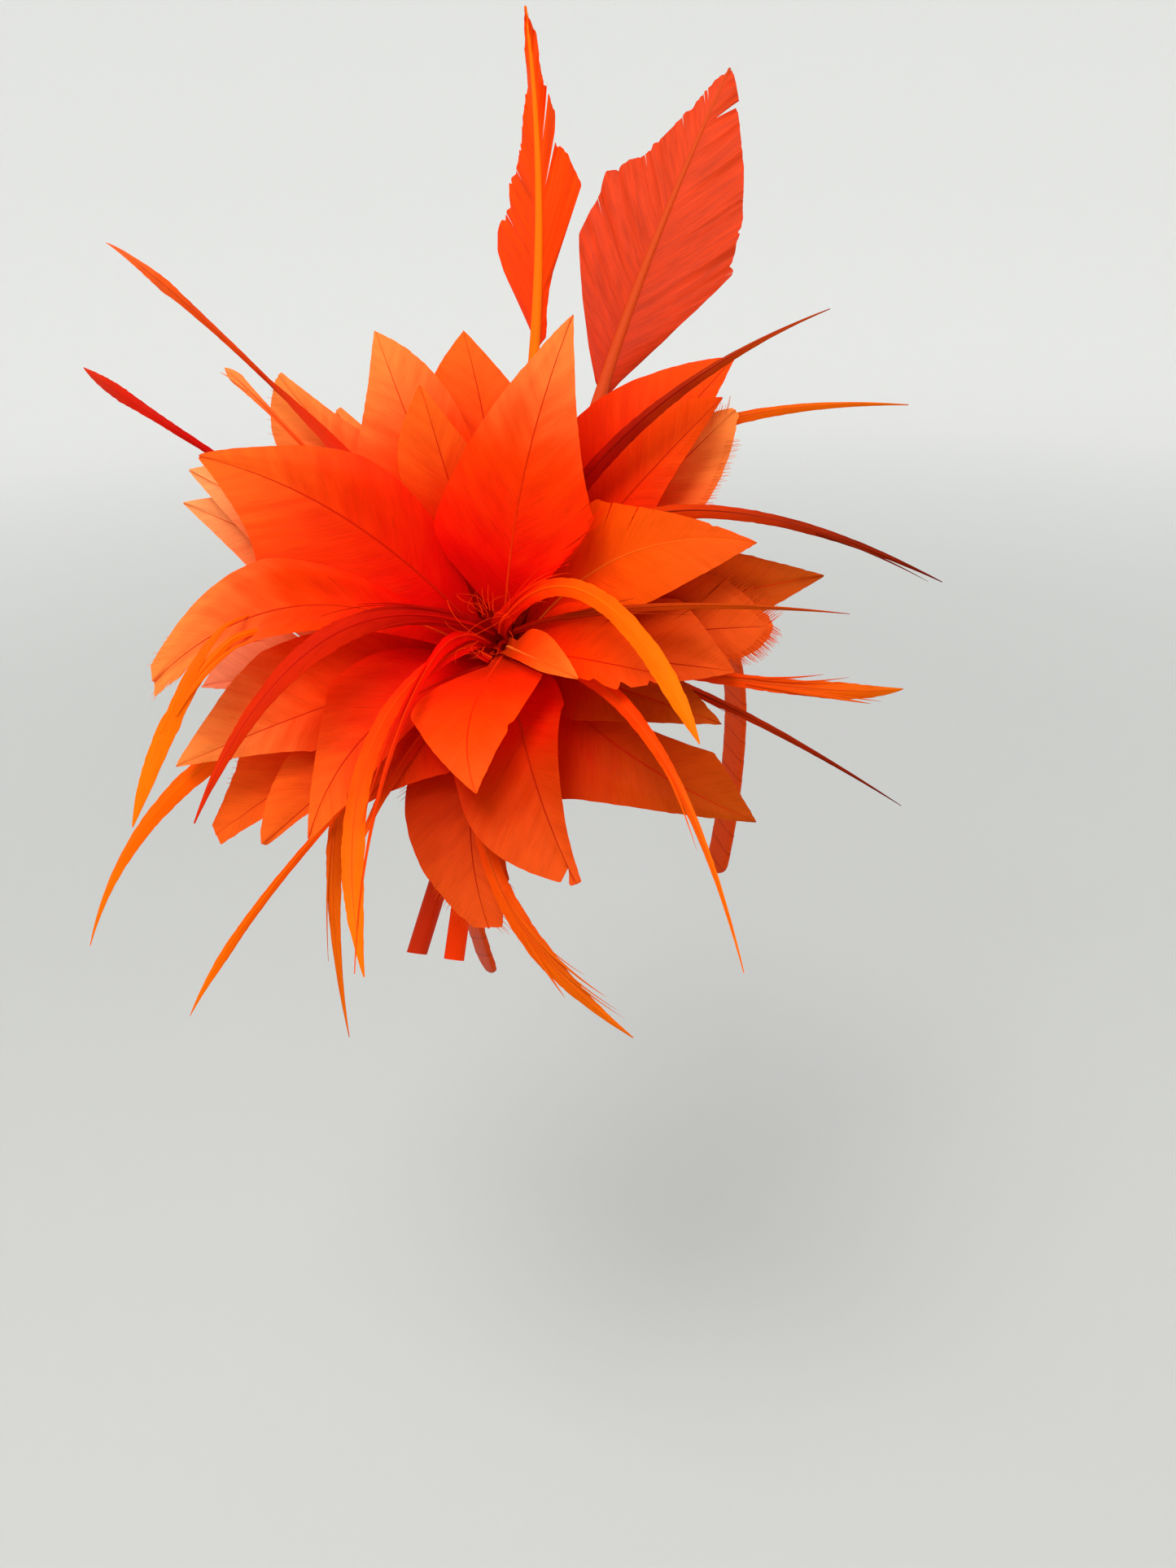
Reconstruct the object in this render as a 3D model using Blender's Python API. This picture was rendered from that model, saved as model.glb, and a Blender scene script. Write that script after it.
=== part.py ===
"""Quill fascinator on a headband.

A satin-covered headband carries a felt base. On the base stand a flower of goose feather
petals with long thin strands between them, and two tall trimmed quills behind the flower.
The frame is the one it is worn in: +Z up, -Y to the wearer's front, -X to the wearer's right,
with the origin under the crown of the headband. Sizes are in millimetres and degrees.
"""
import bpy
import numpy as np

MM = 0.001

# Seats between neighbours
GAP = 0.3

# Headband: a springy arch in the XZ plane
BAND_HALF_SPAN = 66.0
BAND_SHOULDER = 80.0
BAND_END_HALF_SPAN = 57.0
BAND_DROP = 150.0
BAND_WIDTH = 12.0
BAND_THICK = 2.4
BAND_CURVE_STEPS = 24
BAND_LEG_STEPS = 7

# Place and tilt of the flower: its seat on the base and the direction that it faces
FLOWER_SEAT = (-46.0, -18.0, -23.5)
FLOWER_TURN = -52.0
FLOWER_RISE = 34.0

# Felt base: a disc with a wedge that beds it on the band
FELT_RADIUS = 27.0
FELT_THICK = 2.6
FELT_SIDES = 32
WEDGE_HALF_LENGTH = 11.0
WEDGE_STEPS = 5
WEDGE_BITE = 1.2

# Core that the petals' stems are bound to
CORE_RADIUS = 8.0
CORE_HEIGHT = 42.0
CORE_SIDES = 24
EYE_RADIUS = 4.2
EYE_DEPTH = 9.0

# Petals and strands lie on a nest of domes around the core. A ring's number gives its dome:
# height at the core, slope there, and how fast the dome turns down
RING_FOOT = 5.0
RING_STEP = 2.6
SLOPE_FOOT = 0.05
SLOPE_STEP = 0.064
DROOP_FOOT = 0.0008
DROOP_STEP = 0.00025

PETAL_STATIONS = 9
PETAL_MID_THICK = 1.0
PETAL_EDGE_THICK = 0.5
PETAL_ROOT_HALF = 1.2
PETAL_TIP_HALF = 0.5
PETAL_SWELL = 1.8
PETAL_TRIM = 1.25

# Petals, from the front of the flower to its back. clock is the direction that a petal points in,
# clockwise from the top as one faces the flower; reach is its tip's distance from the flower's axis;
# left and right are its half widths, and left_at and right_at say how far along they lie; sweep bends
# its middle sideways; cup lifts its edges
PETAL_COLUMNS = ("name", "ring", "clock", "reach", "left", "left_at", "right", "right_at", "sweep", "cup")
PETALS = (
    ("petal_lip", 12.4, 114, 38, 8.0, 0.35, 3.0, 0.50, 0, 0.6),
    ("petal_crest", 11.2, 16, 86, 23.0, 0.24, 25.0, 0.40, -2, 1.5),
    ("petal_apron", 11.2, 168, 51, 20.0, 0.25, 16.5, 0.40, 5, 1.2),
    ("petal_wing", 10.3, -65, 96, 25.5, 0.60, 18.5, 0.52, 7, 1.5),
    ("petal_wavy", 10.0, 102, 64, 15.0, 0.35, 7.0, 0.72, 0, 0.8),
    ("petal_folded", 10.9, -108, 92, 8.6, 0.45, 14.0, 0.60, 16, 1.0),
    ("petal_upper_small", 9.2, -20, 73, 13.0, 0.68, 9.0, 0.72, 0, 1.0),
    ("petal_side_right", 9.0, 72, 83, 17.0, 0.45, 16.0, 0.58, -10, 1.2),
    ("petal_lower_left", 9.1, -150, 78, 10.5, 0.60, 18.5, 0.46, 9, 1.2),
    ("petal_upper_right_mid", 8.0, 43, 94, 15.0, 0.66, 10.0, 0.50, 0, 1.0),
    ("petal_broad_left", 7.9, -120, 101, 12.0, 0.56, 23.0, 0.61, 0, 1.2),
    ("petal_lower_mid", 8.0, 151, 81, 13.5, 0.36, 22.0, 0.56, 2, 1.2),
    ("petal_top_left", 7.8, -27, 100, 23.0, 0.56, 16.0, 0.62, 0, 1.2),
    ("petal_edge_left", 7.4, -67, 112, 14.0, 0.60, 16.0, 0.65, 0, 1.0),
    ("petal_right_fold", 7.6, 96, 76, 18.0, 0.69, 5.0, 0.75, 0, 1.0),
    ("petal_top", 6.6, -12, 95, 24.0, 0.65, 22.0, 0.50, 4, 1.2),
    ("petal_upper_right", 7.1, 38, 106, 24.5, 0.56, 6.5, 0.80, 0, 1.2),
    ("petal_point_left", 6.6, -72, 112, 16.0, 0.60, 14.0, 0.60, 0, 1.0),
    ("petal_under_left", 6.7, -150, 63, 15.0, 0.55, 13.0, 0.45, 0, 0.8),
    ("petal_point_right", 6.4, 77, 99, 20.0, 0.56, 11.0, 0.70, 0, 1.0),
    ("petal_round", 6.1, -46, 114, 15.0, 0.80, 11.0, 0.65, 0, 1.0),
    ("petal_drop_left", 6.3, -139, 93, 4.5, 0.60, 16.5, 0.72, 0, 1.0),
    ("petal_veil", 5.9, -104, 95, 7.0, 0.70, 17.5, 0.76, 0, 0.8),
    ("petal_right_frayed", 6.0, 43, 97, 8.0, 0.78, 16.0, 0.66, 0, 0.8),
    ("petal_right_low", 5.6, 106, 75, 8.0, 0.78, 13.0, 0.45, 0, 0.8),
    ("petal_back_left", 5.2, -130, 107, 7.0, 0.70, 16.0, 0.78, 0, 0.8),
    ("petal_fan", 7.15, 86, 85, 15.5, 0.74, 9.0, 0.85, 0, 0.6),
    ("petal_back_upper", 5.0, -42, 99, 12.0, 0.75, 9.0, 0.70, 0, 0.8),
    ("petal_back_low", 4.9, 173, 87, 11.0, 0.75, 20.0, 0.60, 8, 1.0),
    ("petal_back_right", 4.2, 119, 96, 12.5, 0.76, 21.0, 0.42, 5, 1.0),
)

STRAND_STATIONS = 10
STRAND_MID_THICK = 0.9
STRAND_EDGE_THICK = 0.5
STRAND_ROOT_SHARE = 0.35
STRAND_TIP_SHARE = 0.08

# Strands: thin stripped feathers that bow from the core over a bend to their tips
STRAND_COLUMNS = ("name", "ring", "root_clock", "bend_clock", "bend_reach", "tip_clock", "tip_reach",
                  "width", "widest_at")
STRANDS = (
    ("strand_arch_right", 13.6, 6, 47, 46, 115, 82, 7.0, 0.75),
    ("strand_arch_left", 13.6, -30, -78, 50, -140, 89, 7.6, 0.50),
    ("strand_inner_left", 13.3, -103, -75, 26, -177, 101, 4.6, 0.25),
    ("strand_front_low", 12.3, -77, -124, 47, -177, 102, 6.6, 0.62),
    ("strand_side_right", 10.8, 30, 63, 20, 88, 106, 2.6, 0.50),
    ("strand_brow", 9.0, 140, 94, 57, 135, 125, 5.4, 0.35),
    ("strand_upper_right", 9.8, -22, 21, 57, 45, 128, 5.2, 0.40),
    ("strand_right_high", 8.6, 41, 25, 67, 82, 129, 4.4, 0.50),
    ("strand_left_high", 7.4, 4, -45, 94, -51, 251, 3.8, 0.78),
    ("strand_left_split", 8.6, -122, -77, 104, -126, 119, 7.6, 0.60),
    ("strand_left_short", 8.4, -94, -48, 96, -52, 119, 3.4, 0.85),
    ("strand_low_left_dark", 7.3, -115, -145, 42, -158, 77, 4.2, 0.55),
    ("strand_lower", 6.4, 144, 189, 75, 152, 125, 6.2, 0.75),
    ("strand_left_low", 7.1, -100, -111, 108, -133, 158, 6.4, 0.50),
    ("strand_right_comb", 6.77, 50, 99, 97, 94, 121, 5.0, 0.72),
    ("strand_lower_left", 5.8, -127, -144, 118, -147, 149, 2.8, 0.70),
    ("strand_left_red", 5.5, -15, -63, 161, -62, 202, 3.8, 0.80),
    ("strand_right_thin", 4.2, 38, 83, 41, 107, 129, 3.0, 0.50),
    ("strand_right_level", 5.3, 49, 4, 79, 56, 138, 3.2, 0.60),
    ("strand_low", 5.0, -68, -97, 68, -167, 127, 4.8, 0.72),
)

# Tall quills: along is measured up the flower's face from its axis, across to the viewer's right
STEM_STATIONS = 8
BLADE_STATIONS = 20
QUILL_EDGE_THICK = 0.6

# A quill's section, around it: the side, the share of the blade's width, and above or below
QUILL_PROFILE = (
    (-1, 0.0, -0.7), (-1, 0.5, -1.0), (-1, 1.0, -1.0), (-1, 1.0, 1.0), (-1, 0.5, 1.0), (-1, 0.0, 0.7),
    (0, 0.0, 1.0), (1, 0.0, 0.7), (1, 0.5, 1.0), (1, 1.0, 1.0), (1, 1.0, -1.0), (1, 0.5, -1.0),
    (1, 0.0, -0.7), (0, 0.0, -1.0),
)

QUILLS = {
    "quill_broad": {
        "foot": -98.0, "tip": 209.0, "depth": 3.45,
        "across": -4.5, "lean": 0.2, "bow": 0.00015, "bow_from": 0.0,
        "stem_width": 6.6, "neck_width": 4.4, "tip_width": 1.0,
        "blade_from": 90.0, "fold": 8.0,
    },
    "quill_twisted": {
        "foot": -98.0, "tip": 233.0, "depth": 9.8,
        "across": -7.5, "lean": 0.0, "bow": -0.00075, "bow_from": 60.0,
        "stem_width": 6.4, "neck_width": 3.6, "tip_width": 1.0,
        "blade_from": 102.0, "fold": 35.0,
    },
}

# Blades: how far up the quill's shaft each row lies, and the blade's half widths there
BLADE_COLUMNS = ("up", "left", "right")
BLADES = {
    "quill_broad": (
        (92, 2, 2), (103, 8, 5.5), (114, 14, 11), (126, 21.5, 18), (136, 27, 23.5), (143, 30, 27.5),
        (152, 29.5, 26), (160, 28, 24.5), (166, 27.5, 22), (174, 20, 19), (184, 12, 14.5), (196, 6.7, 8),
        (207, 2.5, 2.5),
    ),
    "quill_twisted": (
        (104, 2, 2), (110, 4, 2.5), (122, 9, 3.5), (134, 16.5, 4), (142, 20.5, 5.5), (150, 21, 10.5),
        (157, 16.5, 14.5), (164, 15, 15), (174, 11.5, 10.5), (182, 9, 5.5), (191, 7, 5.5), (200, 5, 4),
        (214, 3, 3), (226, 1.5, 2),
    ),
}

FELT = ("felt_base_red", (0.60, 0.06, 0.01, 1.0), 0.95)
SATIN = ("headband_satin", (0.62, 0.07, 0.01, 1.0), 0.55)
PETAL_FEATHER = ("petal_feather", (0.95, 0.14, 0.01, 1.0), 0.60)
STRAND_FEATHER = ("strand_feather", (0.95, 0.20, 0.01, 1.0), 0.50)
QUILL_FEATHER = ("quill_feather", (0.80, 0.07, 0.02, 1.0), 0.55)
CORE_BINDING = ("core_binding", (0.55, 0.02, 0.01, 1.0), 0.80)


def clear_scene():
    """Remove the objects that Blender starts with."""
    for item in list(bpy.data.objects):
        bpy.data.objects.remove(item, do_unlink=True)


def flower_axes():
    """The flower's own axes: right and up on its face, and out of its face."""
    turn, rise = np.radians(FLOWER_TURN), np.radians(FLOWER_RISE)
    right = np.array([np.cos(turn), np.sin(turn), 0.0])
    out = np.array([np.sin(turn) * np.cos(rise), -np.cos(turn) * np.cos(rise), np.sin(rise)])
    return right, np.cross(out, right), out


def from_flower(points):
    """Carry points from the flower's axes to the part's frame."""
    right, up, out = flower_axes()
    points = np.asarray(points, float)
    return (np.array(FLOWER_SEAT) + points[..., :1] * right + points[..., 1:2] * up
            + points[..., 2:3] * out)


def material(finish):
    """A Principled material from a name, a colour and a roughness."""
    name, colour, roughness = finish
    found = bpy.data.materials.get(name)
    if found:
        return found
    made = bpy.data.materials.new(name)
    made.use_nodes = True
    shader = made.node_tree.nodes["Principled BSDF"]
    shader.inputs["Base Color"].default_value = colour
    shader.inputs["Roughness"].default_value = roughness
    shader.inputs["Metallic"].default_value = 0.0
    return made


def add_mesh(name, points, faces, finish, crease=50.0):
    """Make one object from points in millimetres and faces that point out."""
    mesh = bpy.data.meshes.new(name)
    mesh.from_pydata((np.asarray(points) * MM).tolist(), [], faces)
    mesh.shade_smooth()
    mesh.set_sharp_from_angle(angle=np.radians(crease))
    mesh.materials.append(material(finish))
    made = bpy.data.objects.new(name, mesh)
    bpy.context.scene.collection.objects.link(made)
    return made


def lofted(sections):
    """Faces of a solid that runs through equal sections and is closed by its first and last."""
    rows, count = sections.shape[:2]
    faces = []
    for row in range(rows - 1):
        low, high = row * count, (row + 1) * count
        for i in range(count):
            j = (i + 1) % count
            faces.append((low + i, low + j, high + j, high + i))
    faces.append(tuple(range(count - 1, -1, -1)))
    faces.append(tuple(range((rows - 1) * count, rows * count)))
    return faces


def band_line():
    """Middle line of the band's inner face, from the right end over the crown to the left end."""
    turn = np.linspace(0, np.pi / 2, BAND_CURVE_STEPS // 2 + 1)
    x = BAND_HALF_SPAN * np.sin(turn)
    z = -BAND_SHOULDER * (1 - np.cos(turn))
    leg = np.linspace(0, 1, BAND_LEG_STEPS + 1)[1:]
    ease = leg * leg
    x = np.concatenate([x, BAND_HALF_SPAN + (BAND_END_HALF_SPAN - BAND_HALF_SPAN) * ease])
    z = np.concatenate([z, -BAND_SHOULDER + (BAND_SHOULDER - BAND_DROP) * leg])
    x = np.concatenate([-x[:0:-1], x])
    z = np.concatenate([z[:0:-1], z])
    return x, z


def band_normals(x, z):
    """Unit normals that point away from the head along the band's line."""
    along = np.stack([np.gradient(x), np.gradient(z)], 1)
    along /= np.linalg.norm(along, axis=1, keepdims=True)
    return np.stack([-along[:, 1], along[:, 0]], 1)


def make_headband():
    """A flat springy strip bent into an arch, with round ends."""
    x, z = band_line()
    normals = band_normals(x, z)
    run = np.concatenate([[0.0], np.cumsum(np.hypot(np.diff(x), np.diff(z)))])
    to_end = np.minimum(run, run[-1] - run)
    half = BAND_WIDTH / 2
    inset = np.clip(1 - to_end / half, 0, 1)
    half_width = half * np.sqrt(np.clip(1 - inset ** 2, 0.05, 1))
    rim = np.array([(-0.9, 0.0), (0.9, 0.0), (1.0, 0.15), (1.0, 0.85),
                    (0.9, 1.0), (-0.9, 1.0), (-1.0, 0.85), (-1.0, 0.15)])
    sections = np.zeros((len(x), len(rim), 3))
    lift = rim[:, 1] * BAND_THICK
    sections[..., 0] = x[:, None] + normals[:, :1] * lift
    sections[..., 1] = half_width[:, None] * rim[:, 0]
    sections[..., 2] = z[:, None] + normals[:, 1:] * lift
    return add_mesh("headband", sections.reshape(-1, 3), lofted(sections), SATIN)


def disc_sections(rim):
    """Rings of points around the flower's axis from rows of radius and height."""
    angle = np.linspace(0, 2 * np.pi, FELT_SIDES, endpoint=False)
    rim = np.asarray(rim, float)
    ring = np.zeros((len(rim), FELT_SIDES, 3))
    ring[..., 0] = rim[:, :1] * np.cos(angle)
    ring[..., 1] = rim[:, :1] * np.sin(angle)
    ring[..., 2] = rim[:, 1:2]
    return ring


def make_wedge():
    """A prism between the band's outer face and the underside of the felt disc."""
    x, z = band_line()
    normals = band_normals(x, z)
    outer = np.stack([x, z], 1) + normals * (BAND_THICK + GAP)
    seat = np.array(FLOWER_SEAT)
    start = np.argmin(np.hypot(outer[:, 0] - seat[0], outer[:, 1] - seat[2]))
    run = np.concatenate([[0.0], np.cumsum(np.linalg.norm(np.diff(outer, axis=0), axis=1))])
    at = run[start] + np.linspace(-WEDGE_HALF_LENGTH, WEDGE_HALF_LENGTH, WEDGE_STEPS)
    line_x = np.interp(at, run, outer[:, 0])
    line_z = np.interp(at, run, outer[:, 1])
    out = flower_axes()[2]
    half = BAND_WIDTH / 2
    sections = np.zeros((WEDGE_STEPS, 4, 3))
    for corner, side in ((0, half), (1, -half)):
        low = np.stack([line_x, np.full(WEDGE_STEPS, side), line_z], 1)
        rise = -(FELT_THICK - WEDGE_BITE) - (low - seat) @ out
        sections[:, corner] = low
        sections[:, 3 - corner] = low + rise[:, None] * out
    return add_mesh("wedge", sections.reshape(-1, 3), lofted(sections), FELT)


def apply_boolean(target, tool, operation):
    """Apply one exact Boolean to a mesh object and remove the tool."""
    modifier = target.modifiers.new("boolean", "BOOLEAN")
    modifier.operation = operation
    modifier.solver = "EXACT"
    modifier.object = tool
    evaluated = target.evaluated_get(bpy.context.evaluated_depsgraph_get())
    result = bpy.data.meshes.new_from_object(evaluated)
    target.modifiers.clear()
    target.data = result
    bpy.data.objects.remove(tool, do_unlink=True)


def make_felt_base():
    """A stiff felt disc with a soft edge, and the wedge under it, in one piece."""
    soft = 0.8
    rim = [(FELT_RADIUS - soft, -FELT_THICK), (FELT_RADIUS, soft - FELT_THICK), (FELT_RADIUS, -soft),
           (FELT_RADIUS - soft, 0.0)]
    ring = disc_sections(rim)
    base = add_mesh("felt_base", from_flower(ring).reshape(-1, 3), lofted(ring), FELT)
    apply_boolean(base, make_wedge(), "UNION")
    return base


def ring_height(ring, reach):
    """Height of a ring's dome over the base at a distance from the flower's axis."""
    out = np.maximum(reach - CORE_RADIUS, 0.0)
    slope = SLOPE_FOOT + SLOPE_STEP * ring
    droop = DROOP_FOOT + DROOP_STEP * ring
    return RING_FOOT + RING_STEP * ring + slope * out - droop * out * out


def ring_stretch(ring, reach):
    """How much a thickness grows when it is measured straight up through the sloping dome."""
    out = np.maximum(reach - CORE_RADIUS, 0.0)
    slope = SLOPE_FOOT + SLOPE_STEP * ring - 2 * (DROOP_FOOT + DROOP_STEP * ring) * out
    return np.sqrt(1 + slope * slope)


def outline(along, width, widest_at):
    """Half width along a petal: it swells to its widest place and is trimmed to a point."""
    swell = 1 - (1 - np.minimum(along / widest_at, 1)) ** PETAL_SWELL
    trim = 1 - (np.maximum(along - widest_at, 0) / (1 - widest_at)) ** PETAL_TRIM
    foot = PETAL_ROOT_HALF + (PETAL_TIP_HALF - PETAL_ROOT_HALF) * along
    return foot + (width - foot) * swell * trim


def blade_solid(x, y, ring, lift, thick):
    """Close a feather's face into a thin solid that lies on a ring's dome."""
    reach = np.hypot(x, y)
    middle = ring_height(ring, reach) + lift
    half = thick / 2 * ring_stretch(ring, reach)
    top = np.stack([x, y, middle + half], -1)
    bottom = np.stack([x, y, middle - half], -1)[:, ::-1]
    return np.concatenate([bottom, top], 1)


def make_petal(row):
    """One trimmed goose feather petal."""
    petal = dict(zip(PETAL_COLUMNS, row))
    along = np.linspace(0, 1, PETAL_STATIONS) ** 0.9
    side = np.array([-1.0, -0.5, 0.0, 0.5, 1.0])
    foot = CORE_RADIUS + GAP
    reach = foot + along * (petal["reach"] - foot)
    left = outline(along, petal["left"], petal["left_at"])[:, None]
    right = outline(along, petal["right"], petal["right_at"])[:, None]
    drift = petal["sweep"] * 4 * along * (1 - along)
    across = drift[:, None] + np.where(side < 0, left, right) * side
    clock = np.radians(petal["clock"])
    x = reach[:, None] * np.sin(clock) + across * np.cos(clock)
    y = reach[:, None] * np.cos(clock) - across * np.sin(clock)
    fullness = np.sin(np.pi * np.clip(along, 0, 1))[:, None]
    lift = petal["cup"] * fullness * side ** 2
    thick = PETAL_MID_THICK + (PETAL_EDGE_THICK - PETAL_MID_THICK) * np.abs(side)
    sections = blade_solid(x, y, petal["ring"], lift, thick)
    return add_mesh(petal["name"], from_flower(sections).reshape(-1, 3), lofted(sections), PETAL_FEATHER)


def bow(start, bend, end, along):
    """Points of a quadratic curve from start to end that leans towards bend."""
    along = along[:, None]
    return (1 - along) ** 2 * start + 2 * along * (1 - along) * bend + along ** 2 * end


def polar(clock, reach):
    """Point on the flower's face from a clock angle and a distance."""
    angle = np.radians(clock)
    return reach * np.array([np.sin(angle), np.cos(angle)])


def make_strand(row):
    """One thin stripped feather that bows out of the core, with its root cut square to the core."""
    strand = dict(zip(STRAND_COLUMNS, row))
    along = np.linspace(0, 1, STRAND_STATIONS)
    start = polar(strand["root_clock"], CORE_RADIUS + GAP)
    bend = polar(strand["bend_clock"], strand["bend_reach"])
    end = polar(strand["tip_clock"], strand["tip_reach"])
    line = bow(start, bend, end, along)
    tangent = np.gradient(line, axis=0)
    tangent[0] = start
    tangent /= np.linalg.norm(tangent, axis=1, keepdims=True)
    swell = np.minimum(along / strand["widest_at"], 1)
    trim = np.maximum(along - strand["widest_at"], 0) / (1 - strand["widest_at"])
    share = (STRAND_ROOT_SHARE + (1 - STRAND_ROOT_SHARE) * swell) * (1 - (1 - STRAND_TIP_SHARE) * trim ** 1.5)
    half = strand["width"] / 2 * share
    side = np.array([-1.0, 0.0, 1.0])
    x = line[:, :1] + tangent[:, 1:] * half[:, None] * side
    y = line[:, 1:] - tangent[:, :1] * half[:, None] * side
    thick = STRAND_MID_THICK + (STRAND_EDGE_THICK - STRAND_MID_THICK) * np.abs(side)
    sections = blade_solid(x, y, strand["ring"], 0.0, thick)
    return add_mesh(strand["name"], from_flower(sections).reshape(-1, 3), lofted(sections), STRAND_FEATHER)


def quill_line(quill, up):
    """Sideways place of a quill's shaft at a height up the flower's face."""
    past = np.maximum(up - quill["bow_from"], 0.0) if quill["bow_from"] else up
    return quill["across"] + quill["lean"] * up + quill["bow"] * past * past


def shaft_width(quill, up):
    """A quill's shaft keeps its width up to the blade and then thins to the tip."""
    stem = np.clip((up - quill["foot"]) / (quill["blade_from"] - quill["foot"]), 0, 1)
    blade = np.clip((up - quill["blade_from"]) / (quill["tip"] - quill["blade_from"]), 0, 1)
    neck = quill["stem_width"] + (quill["neck_width"] - quill["stem_width"]) * stem ** 2
    return neck + (quill["tip_width"] - quill["neck_width"]) * blade


def make_quill(name):
    """A tall quill: a round stem that carries a trimmed blade on both sides."""
    quill = QUILLS[name]
    rows = dict(zip(BLADE_COLUMNS, np.array(BLADES[name], float).T))
    stem = np.linspace(quill["foot"], quill["blade_from"], STEM_STATIONS + 1)[:-1]
    blade = np.linspace(quill["blade_from"], quill["tip"], BLADE_STATIONS)
    up = np.concatenate([stem, blade])
    radius = shaft_width(quill, up) / 2
    widths = [np.interp(up, rows["up"], rows[column], left=0.0, right=0.0) for column in ("left", "right")]
    left, right = [np.maximum(width, radius * 1.02) for width in widths]
    fold = np.radians(quill["fold"])
    middle = quill_line(quill, up)
    slope = np.gradient(middle, up)
    across = np.stack([np.ones_like(slope), -slope], 1) / np.sqrt(1 + slope * slope)[:, None]
    sections = np.zeros((len(up), len(QUILL_PROFILE), 3))
    for i, (side, share, height) in enumerate(QUILL_PROFILE):
        wide = left if side < 0 else right
        spread = np.where(share > 0, radius + (wide - radius) * share, radius * 0.7 * abs(side))
        past = np.maximum(spread - radius, 0.0)
        flat = np.where(past > QUILL_EDGE_THICK, QUILL_EDGE_THICK / 2, radius * 0.45)
        deep = flat * np.sign(height) if share > 0 else radius * height
        place = side * (np.minimum(spread, radius) + past * np.cos(fold))
        sections[:, i, 0] = middle + place * across[:, 0]
        sections[:, i, 1] = up + place * across[:, 1]
        sections[:, i, 2] = quill["depth"] + deep - past * np.sin(fold)
    return add_mesh(name, from_flower(sections).reshape(-1, 3), lofted(sections), QUILL_FEATHER)


def channel(name, quill):
    """A tube around a quill's stem, a little wider than the stem, to cut its way through the core."""
    up = np.linspace(-CORE_RADIUS * 2, CORE_RADIUS * 2, 5)
    angle = np.linspace(0, 2 * np.pi, CORE_SIDES // 2, endpoint=False)
    radius = (shaft_width(quill, up) / 2 + GAP) * 1.08
    ring = np.zeros((len(up), len(angle), 3))
    ring[..., 0] = quill_line(quill, up)[:, None] + radius[:, None] * np.cos(angle)
    ring[..., 1] = up[:, None]
    ring[..., 2] = quill["depth"] - radius[:, None] * np.sin(angle)
    return add_mesh(name, from_flower(ring).reshape(-1, 3), lofted(ring), CORE_BINDING)


def make_core():
    """The bound stems in the flower's middle: a short post with a dark eye at its top."""
    angle = np.linspace(0, 2 * np.pi, CORE_SIDES, endpoint=False)
    rim = np.array([(CORE_RADIUS, GAP), (CORE_RADIUS, CORE_HEIGHT - 2.0), (CORE_RADIUS - 1.5, CORE_HEIGHT),
                    (EYE_RADIUS, CORE_HEIGHT - 1.0), (EYE_RADIUS * 0.6, CORE_HEIGHT - EYE_DEPTH)])
    ring = np.zeros((len(rim), CORE_SIDES, 3))
    ring[..., 0] = rim[:, :1] * np.cos(angle)
    ring[..., 1] = rim[:, :1] * np.sin(angle)
    ring[..., 2] = rim[:, 1:2]
    core = add_mesh("flower_core", from_flower(ring).reshape(-1, 3), lofted(ring), CORE_BINDING)
    for name, quill in QUILLS.items():
        apply_boolean(core, channel("channel_" + name, quill), "DIFFERENCE")
    return core


def build():
    clear_scene()
    make_headband()
    make_felt_base()
    make_core()
    for row in PETALS:
        make_petal(row)
    for row in STRANDS:
        make_strand(row)
    for name in QUILLS:
        make_quill(name)


build()
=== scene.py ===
# %% [markdown]
# # A feather fascinator, feather by feather
#
# A fascinator is a small headpiece. This one is a flower of dyed goose feathers with thin
# stripped feathers bowing out of it and two tall quills behind it, on a satin-wound headband.
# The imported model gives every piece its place. Here each plain solid gets the shape and the
# finish of a real feather. A feather is a shaft with a vane on each side, and a vane is a row
# of barbs that lie side by side. So the mesh of a vane is built from barbs too: one grid line
# is one barb. Splits, frayed ends and trimmed outlines then come about as they do on a real one.

import bpy
import numpy as np
from mathutils import Matrix


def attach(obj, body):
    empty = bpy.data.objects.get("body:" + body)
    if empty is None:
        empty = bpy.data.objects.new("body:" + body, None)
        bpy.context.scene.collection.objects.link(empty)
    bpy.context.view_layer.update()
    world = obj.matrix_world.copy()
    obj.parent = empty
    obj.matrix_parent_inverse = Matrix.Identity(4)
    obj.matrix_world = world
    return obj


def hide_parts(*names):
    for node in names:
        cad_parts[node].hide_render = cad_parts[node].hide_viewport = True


MM = 0.001
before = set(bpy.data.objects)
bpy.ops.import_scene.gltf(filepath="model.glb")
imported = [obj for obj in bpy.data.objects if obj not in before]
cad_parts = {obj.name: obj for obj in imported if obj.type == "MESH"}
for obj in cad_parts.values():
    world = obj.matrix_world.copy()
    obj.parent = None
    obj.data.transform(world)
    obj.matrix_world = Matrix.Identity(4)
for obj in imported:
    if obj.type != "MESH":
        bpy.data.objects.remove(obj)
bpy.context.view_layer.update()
print("nodes in the frame:", len(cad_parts))

# %% [markdown]
# ## The flower's own axes
#
# Feathers are easiest to lay out on the face of the flower: x to the viewer's right, y up the
# face, z out of it, in millimetres. One function carries such points to the room's axes. The
# alternative is to build each feather flat and turn its object, but a finished piece has to
# have its place in its mesh, so the points are turned and the objects stay unturned.

# %% Carry points from the flower's face to the room
FLOWER_SEAT = np.array([-46.0, -18.0, -23.5])
FLOWER_TURN = -52.0
FLOWER_TILT = 34.0


def facing(turn, tilt):
    """The direction of two angles in degrees: sin turn cos tilt, -cos turn cos tilt, sin tilt."""
    turn, tilt = np.radians(turn), np.radians(tilt)
    return np.array([np.sin(turn) * np.cos(tilt), -np.cos(turn) * np.cos(tilt), np.sin(tilt)])


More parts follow.
